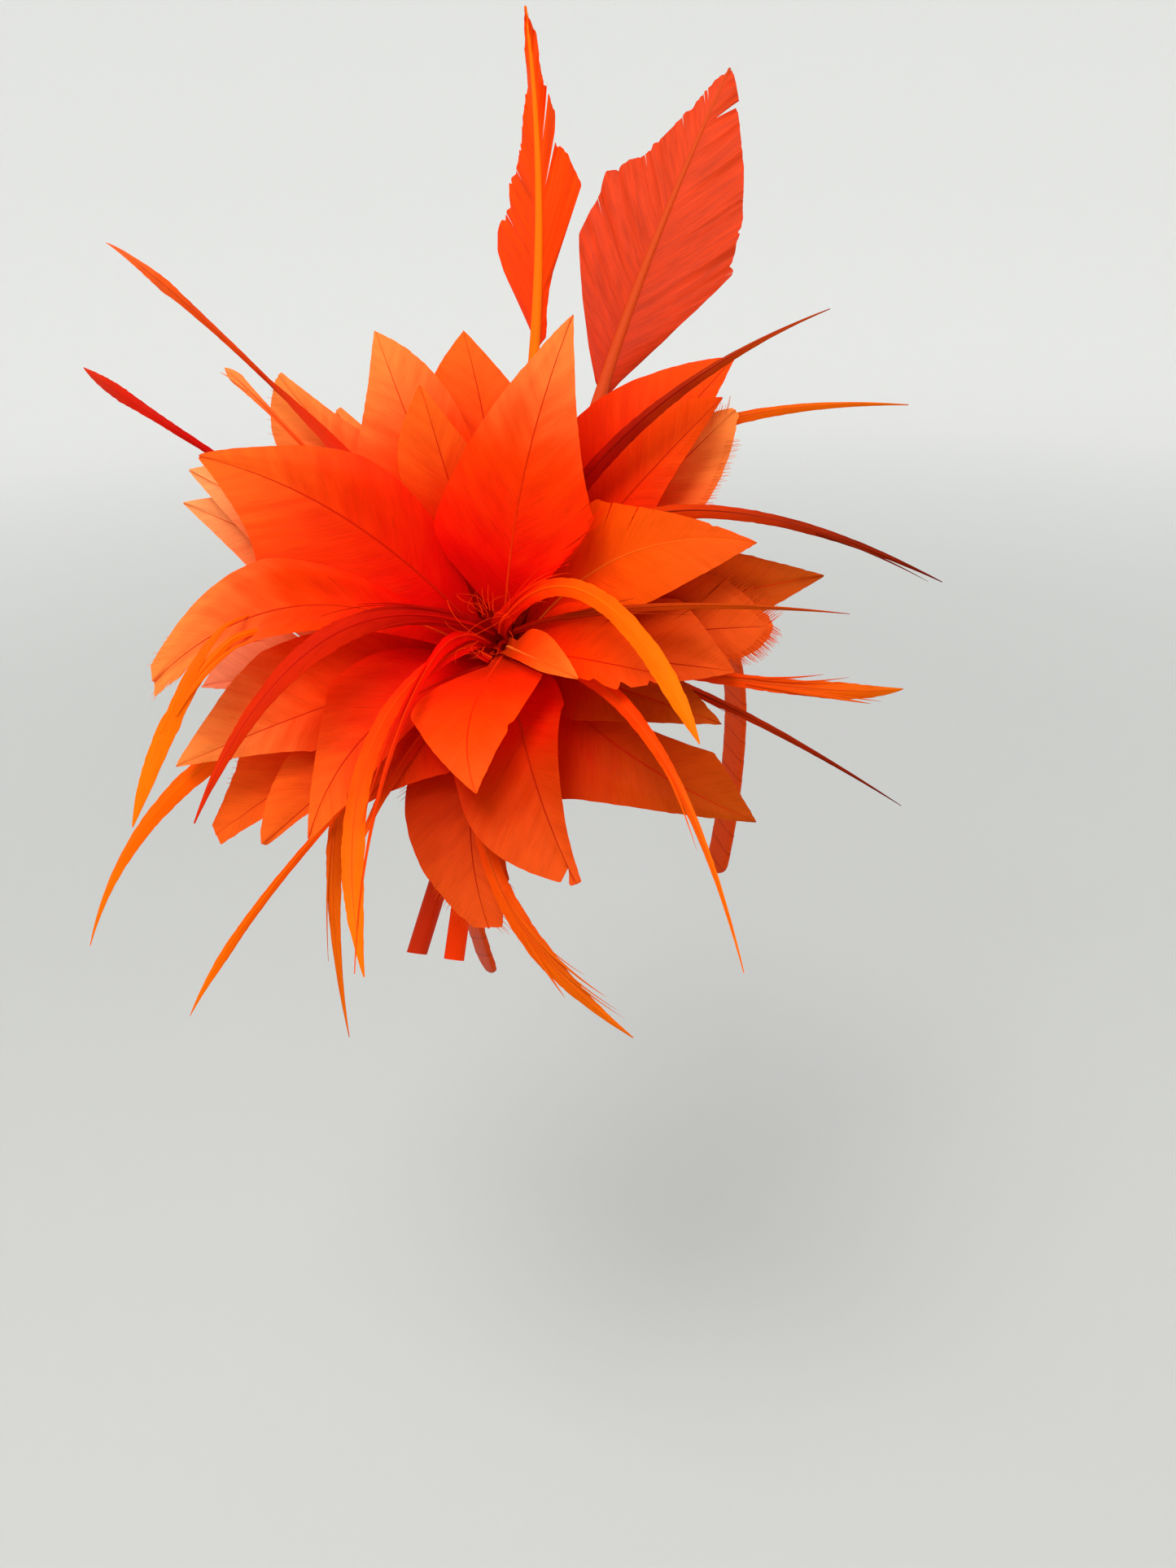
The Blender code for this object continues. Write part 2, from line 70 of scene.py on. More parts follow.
FACE_OUT = facing(FLOWER_TURN, FLOWER_TILT)
FACE_RIGHT = np.array([np.cos(np.radians(FLOWER_TURN)), np.sin(np.radians(FLOWER_TURN)), 0.0])
FACE_UP = np.cross(FACE_OUT, FACE_RIGHT)


def to_room(points):
    """Face points in mm to room points in metres: seat + x * right + y * up + z * out."""
    return (FLOWER_SEAT + points @ np.stack([FACE_RIGHT, FACE_UP, FACE_OUT])) * MM


def polar(clock, reach):
    """A clock angle in degrees and a distance to x and y: reach * sin, reach * cos."""
    angle = np.radians(clock)
    return reach * np.array([np.sin(angle), np.cos(angle)])


print("the flower faces", FACE_OUT.round(2))

# %% [markdown]
# ## Unevenness that is the same every time
#
# Nothing that grew is even. Smooth noise is a row of random numbers, fixed by a seed, with an
# S-shaped blend from each to the next. It bends barbs, ruffles edges and roughens outlines.
# Sine waves would do, but the eye finds their rhythm at once.

# %% Smooth noise
NOISE_ROW = 512


def smooth_noise(place, seed):
    """Noise from -1 to 1 along one axis: random values at whole numbers, blended with 3t^2 - 2t^3."""
    values = np.random.default_rng(seed).uniform(-1, 1, NOISE_ROW)
    cell = np.floor(place).astype(int)
    share = place - cell
    share = share * share * (3 - 2 * share)
    return values[cell % NOISE_ROW] * (1 - share) + values[(cell + 1) % NOISE_ROW] * share


def rise(value, low, high):
    """0 below low, 1 above high, and an S-shaped blend between them."""
    share = np.clip((value - low) / (high - low), 0, 1)
    return share * share * (3 - 2 * share)


print("noise at 0, 0.5, 1:", smooth_noise(np.array([0, 0.5, 1.0]), 1).round(2))

# %% [markdown]
# ## Closed sheets
#
# A vane is as thin as paper, yet a mesh should be a closed body with its faces outwards. So a
# grid of points gets a second grid a hair below it and a rim that joins the two. Solidify could
# thicken a vane as a modifier, but here the thickness changes from the shaft to the edge, and
# arrays give that for free. A part is its points, its quads and its marks, which come below.

# %% Close a grid into a thin sheet
def closed_sheet(top, bottom, flip):
    """Quads of two grids and of the rim between them; flip turns every quad over."""
    rows, columns = top.shape[:2]
    size = rows * columns
    index = np.arange(size).reshape(rows, columns)
    cells = np.stack([index[:-1, :-1], index[1:, :-1], index[1:, 1:], index[:-1, 1:]], -1).reshape(-1, 4)
    edge = np.concatenate([index[:-1, 0], index[-1, :-1], index[:0:-1, -1], index[0, :0:-1]])
    after = np.roll(edge, -1)
    rim = np.stack([after, edge, edge + size, after + size], -1)
    quads = np.concatenate([cells, cells[:, ::-1] + size, rim])
    points = np.concatenate([top.reshape(-1, 3), bottom.reshape(-1, 3)])
    return points, (quads[:, ::-1] if flip else quads)


def thin_sheet(x, y, middle, thick, flip, marks):
    """A part from a grid: its top lies thick / 2 above the middle height and its bottom below."""
    top = np.stack([x, y, middle + thick / 2], -1)
    bottom = np.stack([x, y, middle - thick / 2], -1)
    points, quads = closed_sheet(top, bottom, flip)
    return points, quads, [np.concatenate([np.ravel(mark)] * 2) for mark in marks]


print("quads of a closed 3 x 4 grid:", len(closed_sheet(np.zeros((3, 4, 3)), np.zeros((3, 4, 3)), False)[1]))

# %% [markdown]
# A shaft, a single barb and the band are tubes: a ring of points carried along a path and closed
# at both ends. A bevelled curve would give a tube too, but it can't carry marks on its points.

# %% Carry a ring along a path
def closed_tube(rings):
    """Quads around rings of an even number of points, closed at both ends by strips of quads."""
    rows, count = rings.shape[:2]
    index = np.arange(rows * count).reshape(rows, count)
    after = np.roll(index, -1, axis=1)
    walls = np.stack([index[:-1], after[:-1], after[1:], index[1:]], -1).reshape(-1, 4)
    half = np.arange(count // 2 - 1)
    cap = np.stack([half, half + 1, count - 2 - half, count - 1 - half], -1)
    return rings.reshape(-1, 3), np.concatenate([walls, cap[:, ::-1], cap + (rows - 1) * count])


def circle(sides):
    """Angles of that many points, evenly round a circle."""
    return np.linspace(0, 2 * np.pi, sides, endpoint=False)


def unit_rows(rows):
    """Each row divided by its length."""
    return rows / np.linalg.norm(rows, axis=1, keepdims=True)


def tube_along(path, radius, sides, marks, flat=1.0):
    """A part from rings round a path: centre + radius * (cos * aside - flat * sin * up).

    aside is the path's direction crossed with the face's z axis, and up is square to both."""
    direction = unit_rows(np.gradient(path, axis=0))
    aside = unit_rows(np.cross(direction, [0.02, 0.01, 1.0]))
    up = np.cross(aside, direction)
    angle = circle(sides)[None, :, None]
    spread = np.broadcast_to(np.asarray(radius, float), (len(path),))[:, None, None]
    rings = path[:, None] + spread * (np.cos(angle) * aside[:, None] - flat * np.sin(angle) * up[:, None])
    points, quads = closed_tube(rings)
    return points, quads, [np.repeat(mark, sides) if np.ndim(mark) else mark for mark in marks]


print("points of a 6-sided tube of 3 rings:", len(tube_along(np.eye(3), 0.1, 6, (0, 0, 0, 1))[0]))

# %% [markdown]
# ## From arrays to an object
#
# Every piece is a list of closed parts. Each part brings four marks for each point, which the
# materials read: run, where its barb leaves the shaft, or how far along a ribbon it is; out, how
# far out it lies from there; along, its share of the way to the tip; and shaft, 1 on a shaft and
# 0 on a vane. A texture map could carry two of them, but an attribute has a name that says more.

# %% Make one piece from closed parts
MARKS = ("run", "out", "along", "shaft")
SHARP_ANGLE = np.radians(50)


def make_piece(name, parts, material, node=None, face=True):
    """Join closed parts into one mesh at the origin that rides on the frame."""
    points = np.concatenate([part[0] for part in parts])
    firsts = np.cumsum([0] + [len(part[0]) for part in parts[:-1]])
    quads = np.concatenate([part[1] + first for part, first in zip(parts, firsts)])
    mesh = bpy.data.meshes.new(name)
    mesh.from_pydata((to_room(points) if face else points * MM).tolist(), [], quads.tolist())
    for column, mark in enumerate(MARKS):
        values = np.concatenate([np.broadcast_to(np.ravel(part[2][column]), len(part[0])) for part in parts])
        mesh.attributes.new(mark, "FLOAT", "POINT").data.foreach_set("value", values.astype(np.float32))
    mesh.shade_smooth()
    mesh.set_sharp_from_angle(angle=SHARP_ANGLE)
    mesh.materials.append(material)
    piece = bpy.data.objects.new(name, mesh)
    bpy.context.scene.collection.objects.link(piece)
    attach(piece, "root")
    if node:
        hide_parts(node)
    return piece


def triangles(pieces):
    """Two for each quad."""
    return sum(2 * len(piece.data.polygons) for piece in pieces)


print("marks on every point:", MARKS)

# %% [markdown]
# ## A short hand for shader nodes
#
# Node trees in code get long. A few helpers add a node, fill its sockets and give its output: a
# socket is linked, anything else is set as the input's own value.

# %% Add nodes in one line each
def plug(tree, node, inputs):
    """Link or set a node's inputs by name or number."""
    for key, value in dict(inputs).items():
        if isinstance(value, bpy.types.NodeSocket):
            tree.links.new(value, node.inputs[key])
        else:
            node.inputs[key].default_value = value
    return node


def add(tree, kind, inputs=(), **settings):
    """Add a node, apply its settings and fill its inputs."""
    node = tree.nodes.new("ShaderNode" + kind)
    for name, value in settings.items():
        setattr(node, name, value)
    return plug(tree, node, inputs)


def math_helper(operation):
    """A function that adds a Math node of one kind."""
    def build(tree, first, second=0.0, clamp=False):
        """The node's output; clamp holds it between 0 and 1."""
        return add(tree, "Math", {0: first, 1: second}, operation=operation, use_clamp=clamp).outputs[0]

    return build


plus, minus, times, over, part_of_one = map(math_helper, ("ADD", "SUBTRACT", "MULTIPLY", "DIVIDE", "FRACT"))


def span(tree, value, low, high, start=0.0, end=1.0, kind="LINEAR"):
    """A value between low and high carried to the same share between start and end."""
    inputs = {0: value, 1: low, 2: high, 3: start, 4: end}
    return add(tree, "MapRange", inputs, interpolation_type=kind).outputs[0]


def mix(tree, share, first, second, blend="MIX"):
    """A share of the second colour over the first."""
    return add(tree, "Mix", {0: share, 6: first, 7: second}, data_type="RGBA", blend_type=blend).outputs[2]


def noise(tree, place, scale, detail, roughness=0.5):
    """The value of a noise texture at a place."""
    inputs = {"Vector": place, "Scale": scale, "Detail": detail, "Roughness": roughness}
    return add(tree, "TexNoise", inputs).outputs[0]


def point(tree, x, y, z):
    """A place from three numbers."""
    return add(tree, "CombineXYZ", {0: x, 1: y, 2: z}).outputs[0]


print("math helpers: plus, minus, times, over, part_of_one")

# %% [markdown]
# A group is a small tree with named sockets that several materials share. A new material comes
# with its tree and a Principled shader, which stays outside the groups.

# %% Start a group or a material
def new_group(name, inputs, outputs):
    """A shader group: inputs maps names to a number or a colour, and outputs maps names to kinds."""
    group = bpy.data.node_groups.new(name, "ShaderNodeTree")
    for socket, value in inputs.items():
        kind = "NodeSocketColor" if np.ndim(value) else "NodeSocketFloat"
        group.interface.new_socket(socket, in_out="INPUT", socket_type=kind).default_value = value
    for socket, kind in outputs.items():
        group.interface.new_socket(socket, in_out="OUTPUT", socket_type="NodeSocket" + kind)
    return group, group.nodes.new("NodeGroupInput").outputs, group.nodes.new("NodeGroupOutput")


def new_material(name):
    """A material, its tree and its Principled shader."""
    material = bpy.data.materials.new(name)
    material.use_nodes = True
    return material, material.node_tree, material.node_tree.nodes["Principled BSDF"]


print("materials so far:", len(bpy.data.materials))

# %% [markdown]
# ## Barbs in the shader
#
# Up close a vane is a comb of fine barbs, with some darker and some lighter. The marks on each
# point turn noise into such streaks: it changes fast from barb to barb and slowly along a barb.
# A picture of a feather would repeat on every petal. This group never does, because it also
# reads where the petal is in the room. It gives a fine streak, a broad streak, and comb marks,
# the thin dark lines where barbs have come apart near the edge.

# %% Shader group: barb streaks
def barb_streaks():
    """Noise at (run * fineness, out * 0.1), at (run * 0.22, out * 0.1) and, cut off, for the comb."""
    group, given, out = new_group(
        "Barb Streaks", {"Barb Root": 0.0, "Barb Out": 0.0, "Fineness": 2.0, "Comb Marks": 0.5},
        {"Fine": "Float", "Broad": "Float", "Comb": "Float"})
    place = add(group, "TexCoord").outputs["Object"]
    shift = add(group, "VectorMath", {0: place, 1: (4.0, 4.0, 4.0)}, operation="MULTIPLY").outputs[0]
    slow_at = times(group, given["Barb Out"], 0.10)
    fine_place = point(group, times(group, given["Barb Root"], given["Fineness"]), slow_at, 0.0)
    broad_place = point(group, times(group, given["Barb Root"], 0.22), slow_at, 3.0)
    moved = add(group, "VectorMath", {0: broad_place, 1: shift}, operation="ADD").outputs[0]
    comb_out = times(group, given["Barb Out"], 0.22)
    comb_place = point(group, times(group, given["Barb Root"], 2.3), comb_out, 7.0)
    line = span(group, noise(group, comb_place, 1.0, 1.0), 0.64, 0.72)
    plug(group, out, {"Fine": noise(group, fine_place, 1.0, 2.0, 0.6), "Broad": noise(group, moved, 1.0, 3.0),
                      "Comb": times(group, line, given["Comb Marks"], clamp=True)})
    return group


BARB_STREAKS = barb_streaks()
print("made the shader group", BARB_STREAKS.name)

# %% [markdown]
# ## Dye, with painted shade at the root
#
# The feathers were dyed in a bath. The colour is deepest and reddest near the shaft's root and turns
# lighter and yellower towards the tip. Part of that is the dye, and the rest is painted light: the deep
# red root is painted shade where the feathers crowd down into the funnel, and the pale tip is partly a
# painted highlight. The group blends three colours along the feather, lets the streaks brighten and
# darken them, darkens the part next to the root further as painted shade, and gives the shaft its own
# colour.

# %% Shader group: dyed feather, with painted shade at the root
RED = (1, 0, 0, 1)


def dyed_feather_with_root_shade():
    """Root to middle to tip colour, times 1 + 2 * contrast * streak - 0.45 * comb, darker at the root as
    painted shade.
    """
    group, given, out = new_group(
        "Dyed Feather With Root Shade",
        {"Along": 0.0, "Fine": 0.5, "Broad": 0.5, "Comb": 0.0, "Shaft": 0.0, "Root": RED, "Middle": RED,
         "Tip": RED, "Shaft Root": RED, "Shaft Tip": RED, "Contrast": 0.25}, {"Colour": "Color"})
    drift = times(group, minus(group, given["Broad"], 0.5), 0.2)
    along = plus(group, given["Along"], drift)
    to_middle = span(group, along, 0.10, 0.58, kind="SMOOTHSTEP")
    to_tip = span(group, along, 0.46, 1.0, kind="SMOOTHSTEP")
    # The root colour is a deep red, partly dye and partly painted shade of the funnel; the pale tip is partly
    # a painted highlight.
    colour = mix(group, to_middle, given["Root"], given["Middle"])
    colour = mix(group, to_tip, colour, given["Tip"])
    both = plus(group, times(group, given["Fine"], 0.65), times(group, given["Broad"], 0.35))
    swing = times(group, minus(group, both, 0.5), given["Contrast"])
    level = plus(group, 1.0, times(group, swing, 2.0))
    level = minus(group, level, times(group, given["Comb"], 0.45))
    # Painted shade: down to 0.55 of the colour where the feather goes into the funnel, full again by 0.18 of
    # the way.
    level = times(group, level, span(group, given["Along"], -0.08, 0.18, 0.55, 1.0))
    grey = add(group, "CombineColor", {0: level, 1: level, 2: level}).outputs[0]
    colour = mix(group, 1.0, colour, grey, blend="MULTIPLY")
    shaft = mix(group, to_middle, given["Shaft Root"], given["Shaft Tip"])
    plug(group, out, {"Colour": mix(group, given["Shaft"], colour, shaft)})
    return group


DYED_FEATHER_WITH_ROOT_SHADE = dyed_feather_with_root_shade()
print("made the shader group", DYED_FEATHER_WITH_ROOT_SHADE.name)

# %% [markdown]
# ## The feather's material
#
# A vane lets light through: from behind a lit petal glows. So the surface is a mix of a
# Principled shader, which reflects, and a Translucent one, which passes light on. Subsurface
# scattering is the other way, but on a sheet thinner than paper it costs time and gives the
# same look.

# %% Make a feather material
DYED_PARTS = ("Root", "Middle", "Tip", "Shaft Root", "Shaft Tip")


def feather_material(name, colours, glow=0.34, contrast=0.24, comb=0.25, fineness=2.0, roughness=0.5,
                     gloss=0.03):
    """A mix of reflecting and glowing by glow, in the dye's colour with its painted shade, with the streaks
    as relief.
    """
    material, tree, surface = new_material(name)
    marks = {mark: add(tree, "Attribute", attribute_name=mark).outputs["Fac"] for mark in MARKS}
    streak = add(tree, "Group", {"Barb Root": marks["run"], "Barb Out": marks["out"], "Fineness": fineness,
                                 "Comb Marks": comb}, node_tree=BARB_STREAKS).outputs
    dyes = {part: (*colour, 1.0) for part, colour in zip(DYED_PARTS, colours)}
    dye = add(tree, "Group", {"Along": marks["along"], "Shaft": marks["shaft"], "Fine": streak["Fine"],
                              "Broad": streak["Broad"], "Comb": streak["Comb"], "Contrast": contrast, **dyes},
              node_tree=DYED_FEATHER_WITH_ROOT_SHADE).outputs["Colour"]
    height = plus(tree, times(tree, streak["Fine"], 0.8), streak["Broad"])
    bump = add(tree, "Bump", {"Strength": 0.35, "Distance": 0.0004, "Height": height}).outputs[0]
    rough = plus(tree, times(tree, streak["Fine"], 0.2), roughness - 0.1)
    plug(tree, surface, {"Base Color": dye, "Normal": bump, "Roughness": rough, "Specular IOR Level": gloss})
    through = add(tree, "BsdfTranslucent", {"Color": dye, "Normal": bump})
    mixed = add(tree, "MixShader", {0: glow, 1: surface.outputs[0], 2: through.outputs[0]})
    plug(tree, tree.nodes["Material Output"], {"Surface": mixed.outputs[0]})
    return material


def dye_bath(kind, dyes, differing, **shared):
    """A material for each dye: the shared settings, with those that differ for a dye over them."""
    return {dye: feather_material(kind + dye, colours, **{**shared, **differing.get(dye, {})})
            for dye, colours in dyes.items()}


print("a dye has five colours:", DYED_PARTS)

# %% [markdown]
# The petals' colours. The feathers are dyed red and orange, and the mixes also carry painted light:
# light, sunny, warm and front ones go to the petals where the light falls, and the pale tips of the
# lightest are partly painted highlight; deep, clay and shade ones are painted shade for the petals
# that lie under others or turn away from the light. Each row gives the vane's colour at its root,
# middle and tip, then the shaft's at both ends. Colours could come from a picture, but a few listed
# ones stay easy to change.

# %% The petals' colours, with painted light and shade
PETAL_LIT_AND_SHADED_COLOURS = {
    "light": ((1, 0.002, 0.0002), (1, 0.055, 0.0006), (1, 0.3, 0.055), (1, 0.04, 0.001), (0.8, 0.03, 0.001)),
    "peach": ((1, 0.003, 0.0002), (1, 0.09, 0.003), (1, 0.4, 0.13), (1, 0.1, 0.004), (0.85, 0.06, 0.005)),
    "sunny": ((1, 0.014, 0.0003), (1, 0.11, 0.002), (0.92, 0.12, 0.008), (1, 0.15, 0.01), (1, 0.18, 0.01)),
    "orange": ((1, 0.05, 0.0015), (1, 0.13, 0.008), (1, 0.2, 0.02), (1, 0.18, 0.02), (1, 0.12, 0.008)),
    "front": ((1, 0.022, 0.0003), (1, 0.062, 0.0004), (1, 0.11, 0.008),
              (1, 0.03, 0.001), (0.85, 0.025, 0.001)),
    "warm": ((0.95, 0.001, 0.0001), (0.92, 0.034, 0.0003), (1, 0.16, 0.012),
             (0.75, 0.008, 0.0005), (0.72, 0.015, 0.0005)),
    "deep": ((0.92, 0.001, 0.0001), (0.92, 0.022, 0.0003), (0.95, 0.085, 0.003),
             (0.95, 0.03, 0.001), (0.65, 0.012, 0.0004)),
    "clay": ((1, 0.002, 0.0001), (0.68, 0.036, 0.0006), (0.84, 0.1, 0.008),
             (0.8, 0.03, 0.001), (0.5, 0.012, 0.0005)),
    "shade": ((0.88, 0.001, 0.0001), (0.64, 0.046, 0.0004), (0.56, 0.074, 0.003),
              (0.8, 0.02, 0.001), (0.7, 0.016, 0.0005)),
    "pale": ((1, 0.03, 0.004), (1, 0.24, 0.08), (0.95, 0.34, 0.17), (1, 0.1, 0.02), (0.9, 0.1, 0.02)),
}
PETAL_LIT_AND_SHADED_DYES = dye_bath("petal_", PETAL_LIT_AND_SHADED_COLOURS, {"shade": {"glow": 0.28}, "pale": {"glow": 0.6}})
print("petal dyes:", len(PETAL_LIT_AND_SHADED_DYES))

# %% [markdown]
# The strands run from yellow to crimson. They are firmer than petals, so they glow less and shine
# a little more. The broad quill is coral and the twisted one a bright orange red. A material for
# each feather would do as well, but feathers from one bath share one here.

# %% The strands' and quills' dyes
STRAND_COLOURS = {
    "yellow": ((1, 0.01, 0.0002), (1, 0.11, 0.0002), (1, 0.19, 0.0004), (1, 0.03, 0.0004), (1, 0.17, 0.001)),
    "orange": ((1, 0.004, 0.0002), (0.96, 0.056, 0.0003), (1, 0.18, 0.001),
               (0.9, 0.02, 0.0004), (0.95, 0.08, 0.001)),
    "flame": ((1, 0.006, 0.0002), (0.56, 0.03, 0.0006), (1, 0.13, 0.002),
              (0.6, 0.01, 0.0004), (0.6, 0.04, 0.001)),
    "ember": ((0.9, 0.002, 0.0002), (0.7, 0.01, 0.0003), (1, 0.12, 0.001),
              (0.8, 0.01, 0.0004), (0.9, 0.04, 0.001)),
    "peach": ((0.8, 0.004, 0.0004), (0.92, 0.07, 0.002), (0.97, 0.26, 0.055),
              (0.6, 0.01, 0.0005), (0.85, 0.06, 0.004)),
    "honey": ((0.9, 0.004, 0.0002), (0.84, 0.06, 0.0003), (0.76, 0.13, 0.001),
              (0.6, 0.01, 0.0004), (0.7, 0.07, 0.0008)),
    "amber": ((0.6, 0.003, 0.0002), (0.46, 0.024, 0.0004), (0.52, 0.06, 0.001),
              (0.5, 0.01, 0.0004), (0.4, 0.03, 0.0005)),
    "rust": ((0.8, 0.02, 0.0003), (0.72, 0.04, 0.0006), (0.15, 0.007, 0.0003),
             (0.6, 0.01, 0.0004), (0.3, 0.015, 0.0004)),
    "red": ((0.5, 0.001, 0.0001), (0.64, 0.013, 0.0001), (0.66, 0.024, 0.0002),
            (0.6, 0.002, 0.0003), (0.56, 0.008, 0.0003)),
    "crimson": ((0.5, 0.001, 0.0001), (0.36, 0.002, 0.0001), (0.42, 0.04, 0.001),
                (0.5, 0.002, 0.0002), (0.28, 0.003, 0.0002)),
}
STRAND_DYES = dye_bath("strand_", STRAND_COLOURS, {
    "peach": {"glow": 0.25}, "honey": {"comb": 0.2}, "amber": {"glow": 0.2, "comb": 0.2},
    "rust": {"glow": 0.2, "comb": 0.2}, "red": {"glow": 0.18, "roughness": 0.5},
    "crimson": {"glow": 0.16, "comb": 0.2, "roughness": 0.5},
}, glow=0.22, comb=0.1, roughness=0.45)
QUILL_COLOURS = {
    "coral": ((0.6, 0.02, 0.002), (0.68, 0.044, 0.006), (0.78, 0.062, 0.012),
              (0.66, 0.03, 0.001), (0.72, 0.07, 0.007)),
    "bright": ((1, 0.03, 0.001), (1, 0.062, 0.0008), (1, 0.085, 0.002), (0.95, 0.05, 0.001), (1, 0.2, 0.002)),
}
QUILL_DYES = dye_bath("quill_", QUILL_COLOURS, {"coral": {"glow": 0.24, "comb": 0.3, "gloss": 0.08}},
                      glow=0.3, contrast=0.5, comb=0.4, fineness=0.8)
print("strand dyes:", len(STRAND_DYES), "quill dyes:", len(QUILL_DYES))

# %% [markdown]
# ## A vane, barb by barb
#
# In a feather's own chart one axis runs along the shaft and the other aside from it. A barb
# leaves the shaft and leans towards the tip, a little more as it runs out, so its course is
# along = root + lean * aside + bend * aside^2. It ends where it meets the trimmed outline. That
# meeting has no neat formula, so it is found by halving: 28 halvings leave an error far below
# a hair's width.

# %% Where each barb meets the outline
HALVINGS = 28


def barb_ends(root, lean, bend, half_width, length, widest):
    """How far aside each barb runs before aside = half_width((root + lean a + bend a^2) / length)."""
    low, high = np.zeros_like(root), np.full_like(root, widest)
    for _ in range(HALVINGS):
        aside = (low + high) / 2
        inside = aside < half_width((root + lean * aside + bend * aside ** 2) / length)
        low, high = np.where(inside, aside, low), np.where(inside, high, aside)
    return low


even_end = barb_ends(np.ones(1), 1.0, 0.0, lambda share: 5.0, 10.0, 20.0)
print("in an even outline of 5 mm a barb ends at", even_end.round(3))

# %% [markdown]
# A split is a place where two neighbouring barbs have let go of each other. So the vane is cut
# there into locks, each a closed sheet, and their ends are pushed apart. Cutting the finished
# mesh would leave open edges; locks that are built one by one have none.

# %% Work out the locks of one vane
BARB_STEP = 0.85
BARB_COLUMNS = 12
SPLIT_SPREAD = 5.0
SHORTEST_BARB = 0.05


def vane_locks(length, half_width, widest, lean, bend, seed, splits=(), bites=(), ragged=0.12, first=0.0):
    """Grids of one vane: along, aside, share of the barb, and the barb's root, for each lock.

    splits are (place, share where it opens, gap in mm); bites are (place, half span in mm, depth in mm)."""
    places = [(first, 0, 0), *sorted(splits), (1.0, 0, 0)]
    share = np.linspace(0, 1, BARB_COLUMNS)[None, :]
    locks = []
    for before, after in zip(places[:-1], places[1:]):
        count = max(4, int((after[0] - before[0]) * length / BARB_STEP) + 1)
        place = np.linspace(before[0], after[0], count)
        root = place * length
        leaning = lean[0] + (lean[1] - lean[0]) * place
        ends = barb_ends(root, leaning, bend, half_width, length, widest)
        for at, half_span, depth in bites:
            ends = ends - depth * np.clip(1 - np.abs(root - at * length) / half_span, 0, 1)
        rough = 1 + smooth_noise(root / 2.2, seed) + 0.25 * smooth_noise(root / BARB_STEP, seed + 1)
        aside = np.maximum(ends - ragged * rough, SHORTEST_BARB)[:, None] * share
        along = root[:, None] + leaning[:, None] * aside + bend * aside ** 2
        for (at, opens, gap), sign in ((before, 1), (after, -1)):
            near = np.exp(-np.abs(root - at * length) / SPLIT_SPREAD)[:, None]
            along = along + sign * gap / 2 * near * rise(share, opens, 1.15)
        locks.append((along, aside, *(np.broadcast_to(grid, aside.shape) for grid in (share, root[:, None]))))
    return locks


print("barbs lie %.2f mm apart" % BARB_STEP)

# %% [markdown]
# ## Petals
#
# Thirty goose feathers, each trimmed to a leaf, are bound round the core in layers. The table has
# one row for each petal, front ones first. ring is its layer; clock is where the petal points,
# clockwise from the top; reach is its tip's distance from the middle; left and right are its half
# widths and the _at columns say how far along they lie; blunt is the half width that a cut-off
# tip keeps; sweep bends it aside and cup lifts its edges. The scissors gave each side its own
# line: it swells to its widest place and is trimmed from there. A swell or trim of 1 is straight,
# above 1 it is rounded, and below 1 hollow. All widths are in mm.

